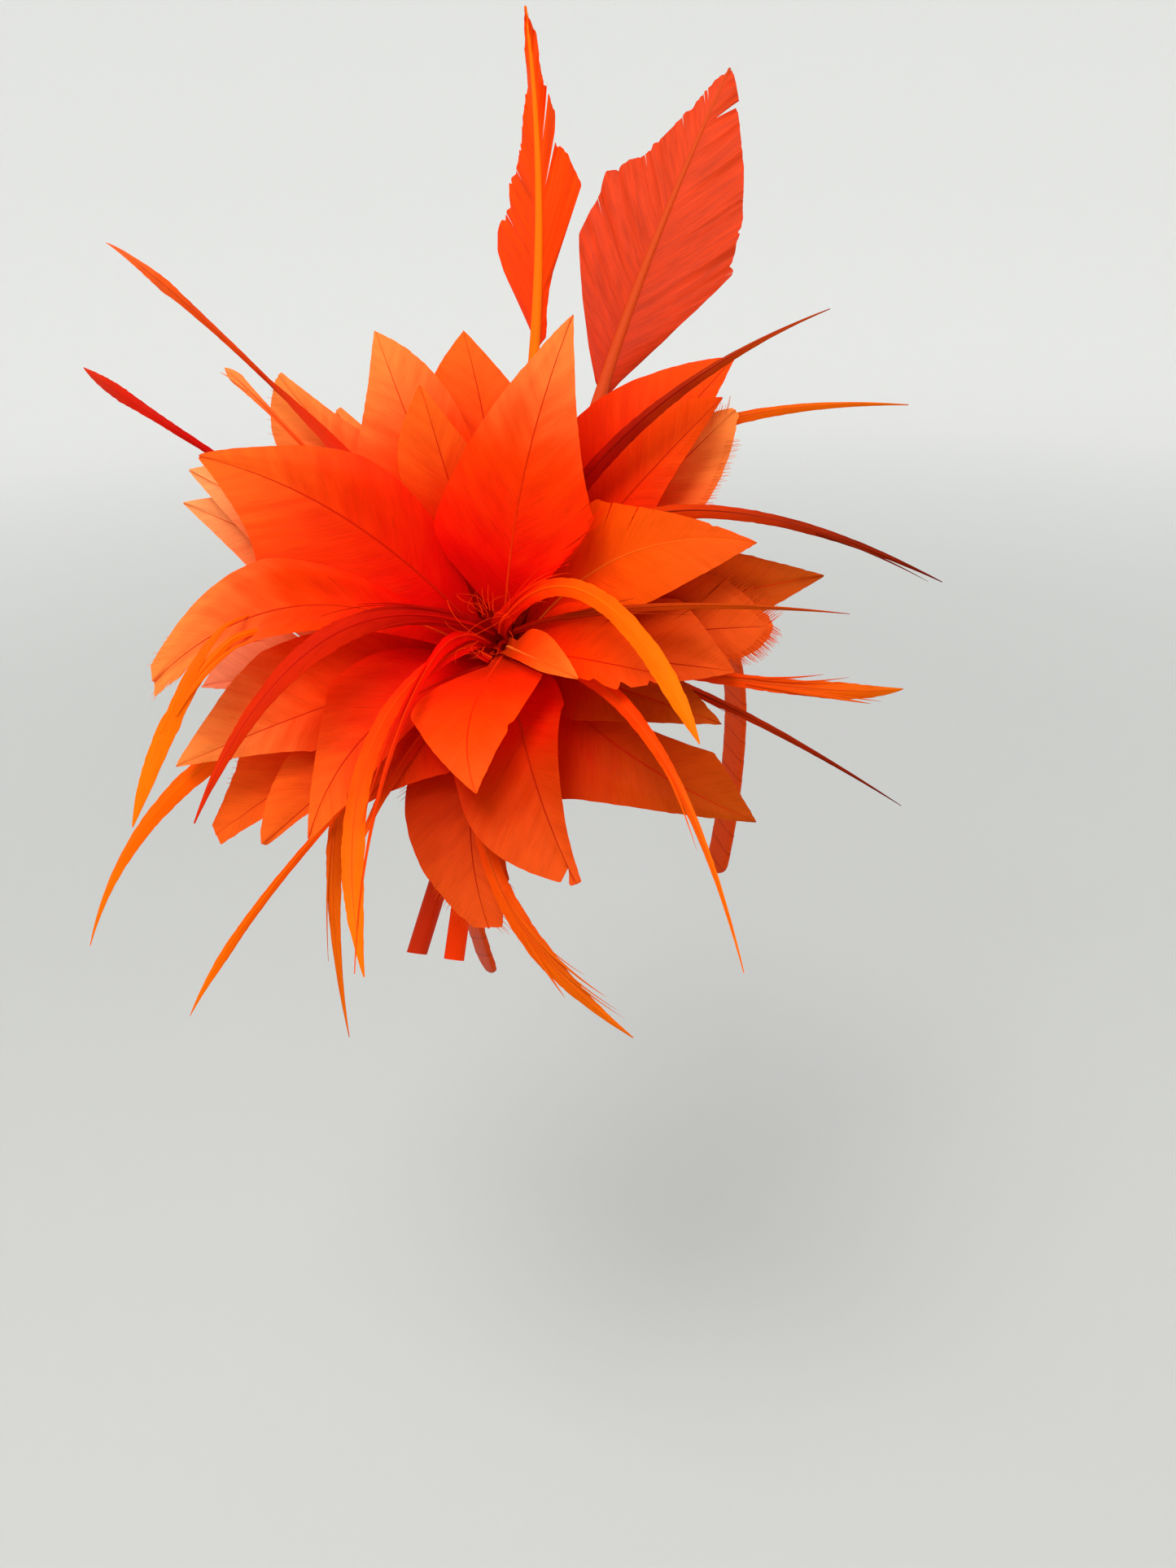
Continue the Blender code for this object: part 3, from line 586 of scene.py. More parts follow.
# %% The petals' table
PETAL_COLUMNS = ("name", "ring", "clock", "reach", "left", "left_at", "left_swell", "left_trim", "right",
                 "right_at", "right_swell", "right_trim", "blunt", "sweep", "cup", "dye")
# dye picks a row of the petals' colours: a lighter one where the light falls on the petal, a darker one as
# painted shade where it lies under others or turns away.
PETALS = (
    ("lip", 12.4, 114, 38, 8.0, 0.35, 5.0, 1.2, 3.0, 0.5, 2.0, 1.0, 0.3, 0, 0.6, "orange"),
    ("crest", 11.2, 16, 86, 23.2, 0.2, 2.0, 1.6, 26.0, 0.38, 1.3, 0.82, 0.3, -2, 1.5, "light"),
    ("apron", 11.2, 168, 51, 20.5, 0.2, 1.8, 1.1, 17.0, 0.4, 2.4, 0.95, 0.3, 5, 1.2, "front"),
    ("wing", 10.3, -65, 96, 26.5, 0.62, 1.5, 0.75, 18.5, 0.52, 2.4, 1.4, 0.8, 7, 1.5, "warm"),
    ("wavy", 10.0, 102, 64, 15.5, 0.3, 2.3, 1.9, 7.0, 0.72, 2.0, 0.9, 0.3, 0, 0.8, "front"),
    ("folded", 10.9, -108, 92, 8.8, 0.7, 2.4, 1.5, 15.0, 0.56, 1.0, 2.2, 4.5, 16, 1.0, "light"),
    ("upper_small", 9.2, -20, 73, 13.2, 0.63, 1.4, 2.1, 9.0, 0.7, 2.4, 1.0, 0.3, 0, 1.0, "warm"),
    ("side_right", 9.0, 72, 83, 17.5, 0.45, 2.0, 0.74, 16.0, 0.55, 2.0, 1.6, 0.3, -10, 1.2, "sunny"),
    ("lower_left", 9.1, -150, 78, 10.5, 0.65, 1.8, 1.6, 18.8, 0.46, 4.0, 0.82, 0.3, 9, 1.2, "warm"),
    ("upper_right_mid", 8.0, 43, 94, 14.6, 0.63, 3.3, 2.3, 10.0, 0.58, 2.0, 0.74, 0.3, 0, 1.0, "deep"),
    ("broad_left", 7.9, -120, 101, 12.0, 0.58, 1.6, 0.75, 23.0, 0.6, 3.0, 1.35, 0.3, 0, 1.2, "light"),
    ("lower_mid", 8.0, 151, 81, 15.0, 0.29, 3.0, 0.62, 22.0, 0.52, 3.7, 2.2, 1.5, 2, 1.2, "clay"),
    ("top_left", 7.8, -27, 100, 22.0, 0.6, 2.0, 0.85, 16.5, 0.52, 2.4, 2.2, 0.3, 0, 1.2, "light"),
    ("edge_left", 7.4, -67, 112, 13.0, 0.6, 2.0, 1.0, 16.0, 0.7, 2.0, 1.3, 0.5, 0, 1.0, "peach"),
    ("right_fold", 7.6, 96, 76, 18.5, 0.7, 2.0, 1.1, 5.0, 0.78, 1.5, 1.1, 0.5, 0, 1.0, "clay"),
    ("top", 6.6, -12, 95, 26.0, 0.62, 2.0, 1.45, 22.0, 0.5, 2.0, 1.1, 0.3, 4, 1.2, "warm"),
    ("upper_right", 7.1, 38, 106, 25.0, 0.5, 2.0, 2.1, 5.5, 0.84, 2.0, 1.0, 0.3, 0, 1.2, "deep"),
    ("point_left", 6.6, -72, 112, 15.0, 0.6, 2.0, 0.85, 14.0, 0.62, 2.0, 1.6, 0.3, 0, 1.0, "peach"),
    ("under_left", 6.7, -150, 63, 14.5, 0.6, 2.0, 0.75, 12.0, 0.45, 2.0, 1.0, 0.3, 0, 0.8, "deep"),
    ("point_right", 6.4, 77, 99, 21.0, 0.54, 2.0, 0.9, 10.8, 0.72, 2.0, 1.05, 0.3, 0, 1.0, "shade"),
    ("round", 6.1, -46, 114, 15.6, 0.76, 2.0, 2.3, 9.5, 0.68, 2.0, 0.76, 1.5, 0, 1.0, "light"),
    ("drop_left", 6.3, -139, 93, 3.5, 0.55, 2.0, 1.2, 16.5, 0.68, 2.0, 2.2, 0.8, 0, 1.0, "warm"),
    ("veil", 5.9, -104, 95, 6.5, 0.7, 2.0, 1.0, 16.5, 0.84, 1.2, 1.0, 0.8, 0, 0.8, "pale"),
    ("right_frayed", 6.0, 43, 97, 8.0, 0.8, 2.0, 2.0, 16.0, 0.6, 2.0, 2.2, 1.5, 0, 0.8, "light"),
    ("right_low", 5.6, 106, 75, 8.2, 0.77, 1.0, 1.0, 14.0, 0.35, 2.0, 0.95, 0.3, 0, 0.8, "shade"),
    ("back_left", 5.2, -130, 107, 6.0, 0.75, 2.0, 1.0, 16.8, 0.8, 2.0, 0.85, 4.0, 0, 0.8, "warm"),
    ("fan", 7.15, 86, 85, 16.0, 0.74, 2.2, 1.5, 9.0, 0.85, 2.0, 2.6, 1.5, 0, 0.6, "clay"),
    ("back_upper", 5.0, -42, 96, 12.0, 0.8, 2.0, 2.3, 8.0, 0.75, 2.0, 0.8, 2.0, 0, 0.8, "light"),
    ("back_low", 4.9, 173, 87, 10.0, 0.82, 2.0, 0.8, 19.5, 0.46, 3.0, 2.5, 4.5, 8, 1.0, "clay"),
    ("back_right", 4.2, 119, 96, 13.0, 0.76, 1.0, 1.1, 24.0, 0.4, 2.9, 0.74, 0.3, 5, 1.0, "shade"),
)
print("petals:", len(PETALS))

# %% [markdown]
# Handling leaves its own traces on each side of a petal. A crease is (share of the barb where it
# lies, how far the part outside it bends). A split is (place, share of the barb where it opens,
# gap in mm), and a bite is (place, half its span in mm, its depth in mm).

# %% Creases, splits and bites
CREASES = (
    ("lip", "left", 0.64, -0.8), ("crest", "left", 0.64, -2.6), ("crest", "right", 0.73, 0.9),
    ("apron", "right", 0.64, -1.4), ("wing", "right", 0.64, -2.4), ("wing", "left", 0.45, 0.9),
    ("wavy", "right", 0.45, 1.6), ("folded", "left", 0.45, 1.6), ("folded", "right", 0.36, 1.5),
    ("folded", "right", 0.73, -2.2), ("upper_small", "left", 0.55, 1.2),
    ("side_right", "right", 0.73, -0.8), ("lower_left", "right", 0.55, -1.6),
    ("upper_right_mid", "left", 0.55, 1.0), ("broad_left", "right", 0.64, -1.5),
    ("lower_mid", "right", 0.55, 1.0), ("top_left", "left", 0.64, -1.0), ("top_left", "right", 0.64, 1.2),
    ("right_fold", "left", 0.36, 1.2), ("right_fold", "left", 0.73, -1.4), ("top", "right", 0.36, -1.2),
    ("drop_left", "right", 0.55, -1.2), ("right_frayed", "right", 0.73, -1.0),
    ("right_low", "left", 0.55, 0.8), ("back_left", "right", 0.55, 1.2), ("back_low", "right", 0.36, 1.0),
    ("back_right", "left", 0.64, 1.0), ("back_right", "right", 0.64, -1.2),
)
SPLITS = (
    ("crest", "right", 0.12, 0.55, 1.0), ("crest", "right", 0.2, 0.7, 0.7),
    ("wavy", "left", 0.16, 0.5, 0.8), ("wavy", "left", 0.34, 0.6, 0.8), ("folded", "left", 0.8, 0.55, 1.6),
    ("folded", "left", 0.88, 0.55, 1.6), ("side_right", "left", 0.34, 0.55, 0.9),
    ("side_right", "left", 0.4, 0.7, 0.7), ("side_right", "left", 0.46, 0.45, 0.9),
    ("side_right", "left", 0.53, 0.75, 0.7), ("side_right", "right", 0.1, 0.5, 0.8),
    ("side_right", "right", 0.16, 0.45, 0.9), ("side_right", "right", 0.23, 0.5, 0.8),
    ("side_right", "right", 0.3, 0.65, 0.6), ("lower_left", "left", 0.66, 0.6, 0.8),
    ("upper_right_mid", "left", 0.58, 0.75, 0.4), ("broad_left", "right", 0.5, 0.8, 0.4),
    ("right_fold", "left", 0.52, 0.7, 0.5), ("top", "right", 0.58, 0.85, 0.4),
    ("veil", "right", 0.4, 0.6, 1.0), ("veil", "right", 0.5, 0.5, 1.3), ("fan", "left", 0.45, 0.5, 1.0),
    ("fan", "left", 0.62, 0.45, 1.2), ("fan", "right", 0.55, 0.5, 1.0),
)
BITES = (
    ("apron", "left", 0.3, 1.6, 0.9), ("wavy", "right", 0.3, 3.0, 2.2), ("wavy", "right", 0.47, 2.0, 1.4),
    ("wavy", "right", 0.62, 2.5, 2.0), ("wavy", "right", 0.8, 1.5, 1.0),
    ("side_right", "left", 0.8, 0.8, 0.7), ("lower_mid", "right", 0.93, 1.8, 3.4),
    ("point_right", "left", 0.5, 1.0, 0.9), ("point_right", "left", 0.6, 0.8, 0.7),
)


def side_rows(table, name, side):
    """The rows of a table that are about one side of one petal, without the two names."""
    return [row[2:] for row in table if row[:2] == (name, side)]


print("creases, splits, bites:", len(CREASES), len(SPLITS), len(BITES))

# %% [markdown]
# A fringe is a row of barbs that grew past the edge: (place, span, number, mm past the edge). curl
# bends the tip out of the dome, ragged is how rough the trimmed edge is, and ruffle is how far
# the edge waves.

# %% Fringes, curls and ruffles
FRINGES = (
    ("crest", "right", 0.06, 0.2, 34, 4.5), ("folded", "left", 0.9, 0.16, 7, 1.2),
    ("folded", "right", 0.88, 0.14, 6, 1.2), ("round", "left", 0.8, 0.3, 9, 1.2),
    ("right_frayed", "right", 0.55, 0.6, 80, 1.6), ("right_frayed", "left", 0.84, 0.25, 26, 2.6),
    ("back_left", "right", 0.62, 0.3, 12, 1.5), ("fan", "left", 0.72, 0.5, 90, 2.4),
    ("fan", "right", 0.75, 0.5, 110, 2.0), ("back_low", "right", 0.82, 0.3, 18, 1.6),
    ("back_low", "right", 0.16, 0.3, 22, 3.0), ("back_low", "left", 0.84, 0.28, 12, 1.6),
)
CURLS = {
    "lip": 0.6, "crest": 2.0, "apron": 1.0, "wing": 0.8, "upper_small": 1.5, "lower_mid": -1.5, "top": 1.5,
    "round": 1.5,
}
RAGGED = {
    "wavy": 0.1, "top_left": 0.08, "point_right": 0.1, "drop_left": 0.12, "veil": 0.1, "right_frayed": 0.15,
    "right_low": 0.1, "back_left": 0.15, "fan": 0.2, "back_low": 0.15, "back_right": 0.08,
}
RUFFLES = {"wavy": 1.9}
print("fringes:", len(FRINGES), "with", sum(row[4] for row in FRINGES), "barbs")

# %% [markdown]
# Each layer lies on a dome of its own, steeper for the front ones, so the feathers bow back
# towards their tips and lie one over the other. A flat fan of petals would be simpler, but real
# ones are bound to a round core. Inside the core the dome turns down into a funnel.

# %% The layers' domes
CORE_RADIUS = 8.0
DOME_FOOT = (5, 2.6)
DOME_SLOPE = (0.05, 0.064)
DOME_DROOP = (0.0008, 0.00025)
FUNNEL = 0.3


def dome(ring, x, y):
    """foot + slope * out - droop * out^2, each growing with the ring, less 0.3 * in^2 over the core."""
    reach = np.hypot(x, y)
    out = np.maximum(reach - CORE_RADIUS, 0.0)
    inside = np.maximum(CORE_RADIUS - reach, 0.0)
    slope = DOME_SLOPE[0] + DOME_SLOPE[1] * ring
    droop = DOME_DROOP[0] + DOME_DROOP[1] * ring
    return DOME_FOOT[0] + DOME_FOOT[1] * ring + slope * out - droop * out * out - FUNNEL * inside ** 2


print("the front layer at 8 and 80 mm out:", dome(11.2, np.array([8.0, 80.0]), 0.0).round(1))

# %% [markdown]
# The outline of a petal and its place on the face come next. The outline is a product of a swell
# and a trim, because a spline through measured points would hide how each side was cut.

# %% A petal's outline and place
PETAL_FOOT = 8.3
ROOT_REACH = 2.6
ROOT_HALF_WIDTH = 2.8


def leaf_width(share, width, widest_at, swell, trim, blunt):
    """foot + (width - foot) * (1 - (1 - s/w)^swell) * (1 - ((s - w)/(1 - w))^trim), 0 past the tip.

    foot goes from the root's half width to blunt at the tip."""
    foot = ROOT_HALF_WIDTH + (blunt - ROOT_HALF_WIDTH) * np.clip(share, 0, 1)
    swelled = 1 - (1 - np.clip(share / widest_at, 0, 1)) ** swell
    trimmed = 1 - np.clip((share - widest_at) / (1 - widest_at), 0, 1) ** trim
    return np.where(share < 1, foot + (width - foot) * swelled * trimmed, 0.0)


def petal_place(petal, along, aside):
    """Face x and y of a point of the petal: its shaft bends aside by sweep * 4 s (1 - s)."""
    share = along / petal["length"]
    across = petal["sweep"] * 4 * share * (1 - share) + aside
    clock = np.radians(petal["clock"])
    reach = PETAL_FOOT + along
    return (reach * np.sin(clock) + across * np.cos(clock),
            reach * np.cos(clock) - across * np.sin(clock))


print("half widths of a leaf:", leaf_width(np.array([0, 0.5, 0.9]), 20.0, 0.5, 2.0, 1.0, 0.3).round(1))

# %% [markdown]
# The dome carries the vane. On top of it come the small movements that make a feather look like
# one: a shallow valley along the shaft, a twist of the whole vane, a ruffle at the edge, creases,
# soft folds along the vane, and ridges where clumps of barbs ride over each other.

# %% How a petal lifts off its dome
RIDGE = 0.12
FOLD = 0.6
TWIST_SPAN = 20.0


def tip_curl(petal, up):
    """The curl, coming in over the last part of the way."""
    return petal["curl"] * rise(up, 0.6, 1.1) ** 2


def petal_lift(petal, up, aside, share, root, seed, creases):
    """Height over the dome: cup + valley + twist + ruffle + ridges + folds + creases + curl."""
    full = np.sin(np.pi * np.clip(up, 0, 1))
    body = rise(up, 0.15, 0.5)
    height = petal["cup"] * full * share ** 2 + 0.5 * full * share ** 0.8
    height = height + petal["tilt"] * (aside / TWIST_SPAN) * up
    height = height + petal["ruffle"] * smooth_noise(up * 6.0, seed + 7) * share ** 2 * body
    height = height + RIDGE * smooth_noise(root / 2.4, seed + 11) * share * rise(up, 0.1, 0.4)
    soft_fold = smooth_noise(np.abs(aside) / 6.5 + 2.0 * up, seed + 13)
    height = height + FOLD * soft_fold * rise(share, 0.0, 0.3) * body
    for at, bend in creases:
        height = height + bend * np.clip((share - at) / (1 - at), 0, 1) * body * (1 - rise(up, 0.8, 1.0))
    return height + tip_curl(petal, up)


print("ridges of %.2f mm and soft folds of %.1f mm" % (RIDGE, FOLD))

# %% [markdown]
# A fringe is made of real barbs: thin tubes that go on past the edge and wave a little. Hair
# particles could do it too, but tubes are part of the mesh and export with it.

# %% Fringes of single barbs
BARB_LEAN = (0.42, 1.35)
BARB_BEND = 0.006
WIDEST_PETAL = 27.0
SIDE_SHIFT = 200
FRINGE_POINTS = 10


def fringe_barbs(petal, side, outline, creases, fringe, seed):
    """Tubes from 1.5 mm inside the edge to a random share of the way past it, on their barbs' course."""
    at, wide, number, past = fringe
    length = petal["length"]
    random = np.random.default_rng(seed + 21)
    root = length * (at + wide * (np.arange(number) / number - 0.5)) + random.uniform(-0.5, 0.5, number)
    lean = BARB_LEAN[0] + (BARB_LEAN[1] - BARB_LEAN[0]) * root / length
    ends = barb_ends(root, lean, BARB_BEND, outline, length, WIDEST_PETAL)
    parts = []
    for barb in range(number):
        out = ends[barb] + np.linspace(-1.5, past * random.uniform(0.3, 1.0), FRINGE_POINTS)
        drift = random.uniform(-0.10, 0.10) * np.maximum(out - ends[barb], 0) ** 2
        aside = np.maximum(out, 0.2)
        along = root[barb] + lean[barb] * aside + BARB_BEND * aside ** 2 + drift
        x, y = petal_place(petal, along, side * aside)
        share = np.clip(aside / max(ends[barb], 0.5), 0, 1)
        lift = petal_lift(petal, along / length, side * aside, share, root[barb] + 0 * aside, seed, creases)
        path = np.stack([x, y, dome(petal["ring"], x, y) + lift + 0.06], -1)
        marks = (root[barb] + SIDE_SHIFT * side, ends[barb], along / length, 0.0)
        parts.append(tube_along(path, np.linspace(0.14, 0.04, FRINGE_POINTS), 4, marks))
    return parts


print("a fringe barb has", FRINGE_POINTS, "rings")

# %% [markdown]
# Now one side of a petal, its shaft, and the whole petal. A side that has no crease in the table
# gets a plain one at a random place, since no feather is without any.

# %% Make the petals
SIDES = ((-1, "left"), (1, "right"))
VANE_THICK = (0.34, 0.14)
PLAIN_CREASE_AT = [0.45, 0.55, 0.64]
PLAIN_RAGGED = 0.05
PLAIN_RUFFLE = 0.55
SHAFT_POINTS = 44


def petal_vane(petal, side, word, number):
    """One side of a petal: its locks of barbs, and its fringes."""
    name, length = petal["name"], petal["length"]
    seed = 40 * number + (1 if side < 0 else 2)
    random = np.random.default_rng(7000 + seed)
    plain_crease = [(random.choice(PLAIN_CREASE_AT), random.uniform(-1.4, 0.8))]
    creases = side_rows(CREASES, name, word) or plain_crease

    def outline(share):
        """Half width of this side at a share of the way to the tip."""
        return leaf_width(share, petal[word], petal[word + "_at"], petal[word + "_swell"],
                          petal[word + "_trim"], petal["blunt"])

    locks = vane_locks(length, outline, WIDEST_PETAL, BARB_LEAN, BARB_BEND, seed,
                       side_rows(SPLITS, name, word), side_rows(BITES, name, word),
                       RAGGED.get(name, PLAIN_RAGGED), (ROOT_REACH - PETAL_FOOT) / length)
    parts = []
    for along, aside, share, root in locks:
        x, y = petal_place(petal, along, side * aside)
        lift = petal_lift(petal, along / length, side * aside, share, root, seed, creases)
        thick = VANE_THICK[0] + (VANE_THICK[1] - VANE_THICK[0]) * share
        marks = (root + SIDE_SHIFT * side, aside, along / length, 0 * along)
        parts.append(thin_sheet(x, y, dome(petal["ring"], x, y) + lift, thick, side > 0, marks))
    for fringe in side_rows(FRINGES, name, word):
        parts += fringe_barbs(petal, side, outline, creases, fringe, seed)
    return parts


def petal_shaft(petal):
    """A thin tube along the petal's middle: radius = 0.34 (1 - s)^0.8 + 0.08."""
    along = np.linspace(ROOT_REACH - PETAL_FOOT, petal["length"] * 0.985, SHAFT_POINTS)
    share = np.clip(along / petal["length"], 0, 1)
    x, y = petal_place(petal, along, 0.0)
    path = np.stack([x, y, dome(petal["ring"], x, y) + tip_curl(petal, share) + 0.10], -1)
    return tube_along(path, 0.34 * (1 - share) ** 0.8 + 0.08, 6, (along, 0.0, share, 1.0), flat=0.9)


def make_petal(row, number):
    """Both vanes and the shaft of one petal."""
    petal = dict(zip(PETAL_COLUMNS, row))
    petal["length"] = petal["reach"] - PETAL_FOOT
    petal["tilt"] = np.random.default_rng(number).uniform(-1.2, 1.2)
    petal["curl"] = CURLS.get(petal["name"], 0.8 * petal["tilt"])
    petal["ruffle"] = RUFFLES.get(petal["name"], PLAIN_RUFFLE)
    parts = [part for side, word in SIDES for part in petal_vane(petal, side, word, number)]
    parts.append(petal_shaft(petal))
    node = "petal_" + petal["name"]
    return make_piece("feather_" + node, parts, PETAL_LIT_AND_SHADED_DYES[petal["dye"]], node)


petal_pieces = [make_petal(row, number) for number, row in enumerate(PETALS)]
print("petal triangles:", triangles(petal_pieces))

# %% [markdown]
# ## Strands
#
# A strand is a feather stripped to a narrow blade. It bows out of the core over a bend to its
# tip. The blade is foot times its full width at the root, widest at widest_at, and trimmed to a
# hair from there: the larger the trim, the later it narrows. Its section is a shallow fold, so
# one half catches the light and the other doesn't.

# %% The strands' table
STRAND_COLUMNS = ("name", "ring", "root_clock", "bend_clock", "bend_reach", "tip_clock", "tip_reach",
                  "width", "widest_at", "foot", "trim", "fold", "dye")
STRANDS = (
    ("arch_right", 13.6, 6, 47, 46, 115, 82, 5.4, 0.8, 0.95, 2.6, 0.3, "yellow"),
    ("arch_left", 13.6, -30, -78, 50, -140, 89, 7.8, 0.5, 0.55, 1.4, 0.25, "red"),
    ("inner_left", 13.3, -103, -75, 26, -177, 101, 4.4, 0.25, 0.6, 0.6, 0.45, "ember"),
    ("front_low", 12.3, -77, -124, 47, -177, 102, 6.0, 0.74, 0.55, 2.2, 0.2, "orange"),
    ("side_right", 10.8, 30, 63, 20, 88, 106, 2.4, 0.55, 0.7, 1.5, 0.4, "amber"),
    ("brow", 9.0, 140, 94, 57, 135, 125, 5.4, 0.32, 0.85, 1.0, 0.35, "orange"),
    ("upper_right", 9.8, -22, 21, 57, 46, 128, 5.0, 0.4, 0.65, 1.5, 0.4, "crimson"),
    ("right_high", 8.6, 41, 25, 67, 82, 129, 4.3, 0.55, 0.6, 1.8, 0.35, "rust"),
    ("left_high", 7.4, 4, -43, 94, -51.4, 251, 4.3, 0.75, 0.3, 0.95, 0.3, "flame"),
    ("left_split", 11.8, -156, -73, 80, -131, 108, 5.2, 0.82, 0.32, 2.8, 0.2, "yellow"),
    ("left_short", 8.4, -94, -50, 95, -51, 119, 3.7, 0.88, 0.26, 2.0, 0.2, "peach"),
    ("low_left_dark", 7.3, -115, -145, 42, -158, 77, 4.2, 0.55, 0.35, 1.5, 0.3, "ember"),
    ("lower", 6.4, 144, 189, 75, 152, 125, 5.8, 0.75, 0.6, 1.3, 0.25, "honey"),
    ("left_low", 7.1, -100, -111, 108, -133, 158, 6.4, 0.52, 0.7, 1.5, 0.3, "yellow"),
    ("right_comb", 6.77, 50, 99, 97, 94, 121, 4.9, 0.73, 0.45, 1.4, 0.25, "honey"),
    ("lower_left", 5.8, -127, -144, 118, -147, 149, 2.8, 0.72, 0.35, 1.4, 0.4, "yellow"),
    ("left_red", 5.5, -15, -63, 161, -62, 202, 4.8, 0.72, 0.25, 1.8, 0.3, "red"),
    ("right_thin", 4.2, 38, 83, 41, 107, 129, 3.2, 0.48, 0.6, 1.4, 0.4, "rust"),
    ("right_level", 5.3, 49, 5, 74, 56, 138, 4.3, 0.7, 0.5, 1.2, 0.35, "honey"),
    ("low", 5.0, -68, -97, 68, -167, 127, 4.9, 0.72, 0.5, 1.5, 0.3, "honey"),
)
print("strands:", len(STRANDS))

# %% [markdown]
# Scissors and fingers have split some strands, so a strand may have side blades: (name, leaves
# at, ends at, mm aside at its end, width in mm). One that ends before it leaves runs back towards
# the root. A late blade has (power of its widening, power of its along mark): above 1 it stays
# narrow for longer, and takes its tip's colour later. One strand has a hidden start: (mm below
# the petals, where it begins to come up between them, where it is up).

# %% Split, late and hidden blades
SIDE_BLADES = (
    ("arch_right", 0.01, 0.34, -4.2, 0.5), ("arch_right", 0.02, 0.28, -5.6, 0.4),
    ("arch_right", 0.01, 0.4, -3.4, 0.4), ("arch_right", 0.02, 0.24, 3.6, 0.4),
    ("arch_right", 0.03, 0.31, 4.4, 0.3), ("arch_left", 0.02, 0.42, -4.6, 0.5),
    ("arch_left", 0.04, 0.5, -5.8, 0.4), ("arch_left", 0.02, 0.36, 4.6, 0.5),
    ("arch_left", 0.05, 0.46, 5.6, 0.4), ("left_split", 0.84, 0.52, -5.4, 3.0),
    ("left_split", 0.8, 0.54, 3.8, 1.4), ("lower", 0.6, 0.92, -4.5, 1.0), ("lower", 0.64, 0.86, -5.0, 0.5),
    ("lower", 0.7, 0.95, -3.6, 0.6), ("lower", 0.74, 0.97, -3.0, 0.5), ("lower", 0.7, 0.86, 3.4, 0.9),
    ("right_high", 0.82, 0.985, 1.8, 0.6), ("right_comb", 0.5, 0.86, 3.6, 1.2),
    ("right_comb", 0.56, 0.9, 3.0, 0.6), ("right_comb", 0.45, 0.7, -4.0, 0.7),
    ("right_comb", 0.52, 0.78, -3.6, 0.5), ("inner_left", 0.4, 0.8, 2.2, 0.8),
    ("left_short", 0.8, 0.99, -2.0, 0.7), ("low", 0.62, 0.9, 2.6, 0.8), ("side_right", 0.3, 0.74, 2.8, 0.5),
    ("side_right", 0.36, 0.6, -2.4, 0.5), ("left_high", 0.24, 0.52, 0.2, 4.3),
    ("brow", 0.58, 0.8, 2.2, 0.6), ("right_thin", 0.4, 0.7, 2.0, 0.5),
)
LATE_BLADES = {
    "left_high": (6, 1.0), "left_red": (2.6, 2.2), "left_short": (4, 1.0), "left_split": (7, 1.0),
    "inner_left": (1, 1.5),
}
HIDDEN_STARTS = {"left_split": (13.0, 0.45, 0.60)}
print("side blades:", len(SIDE_BLADES))

# %% [markdown]
# A strand's course is a quadratic curve, the simplest one that bows. Its barbs lie almost along
# it, so its grid runs along and across instead of from barb to barb.

# %% The course and width of a strand
def bow(start, bend, end, along):
    """(1 - t)^2 start + 2 t (1 - t) bend + t^2 end."""
    along = along[:, None]
    return (1 - along) ** 2 * start + 2 * along * (1 - along) * bend + along ** 2 * end


def square_to(line):
    """Unit vectors to the right of a flat line's direction."""
    direction = unit_rows(np.gradient(line, axis=0))
    return np.stack([direction[:, 1], -direction[:, 0]], 1)


def length_along(steps):
    """The distance from the start of a line to each of its points, from its steps' lengths."""
    return np.concatenate([[0.0], np.cumsum(steps)])


def blade_share(along, widest_at, foot, trim, late=1, tip=0.05):
    """(foot + (1 - foot) min(t/w, 1)^late) * (1 - (1 - tip) ((t - w)/(1 - w))^trim)."""
    swell = np.minimum(along / widest_at, 1) ** late
    past = np.clip((along - widest_at) / (1 - widest_at), 0, 1)
    return (foot + (1 - foot) * swell) * (1 - (1 - tip) * past ** trim)


print("widths of a blade:", blade_share(np.array([0, 0.5, 1.0]), 0.5, 0.5, 1.5).round(2))

# %% [markdown]
# One blade is a sheet on the strand's dome. Its two edges are roughened apart from each other,
# because they were stripped one after the other.

# %% One blade
STRAND_COLUMNS_ACROSS = 9


def strand_sheet(line, half, ring, fold, lift, seed, marks_along):
    """A blade on the dome: across = side * half, height = dome + lift - fold * half * |side|^1.5."""
    side = np.linspace(-1, 1, STRAND_COLUMNS_ACROSS)[None, :]
    length = length_along(np.linalg.norm(np.diff(line, axis=0), axis=1))
    left = smooth_noise(length / 1.6, seed)[:, None]
    right = smooth_noise(length / 1.3, seed + 1)[:, None]
    across = side * (half[:, None] * (1 + 0.06 * np.where(side < 0, left, right) * np.abs(side)))
    aside = square_to(line)
    x = line[:, :1] + aside[:, :1] * across
    y = line[:, 1:] + aside[:, 1:] * across
    tilt = 0.35 * smooth_noise(length / 30.0, seed + 2)[:, None]
    height = dome(ring, x, y) + lift[:, None] - fold * half[:, None] * np.abs(side) ** 1.5 + tilt * across
    level = 0 * across
    marks = (across * 0.8 + length[:, None] * 0.05 + 30 * seed, length[:, None] + level,
             marks_along[:, None] + level, level)
    return thin_sheet(x, y, height, 0.36 - 0.2 * np.abs(side) + level, True, marks)


print("points across a blade:", STRAND_COLUMNS_ACROSS)

# %% [markdown]
# A whole strand is its blade, its side blades and a thin shaft that ends a little before the tip.
# A side blade leaves the line at one share of the way, moves aside more and more, and ends at another.

# %% Make the strands
STRAND_POINTS = 110
SHAFT_END = 104
BRANCH_POINTS = 50


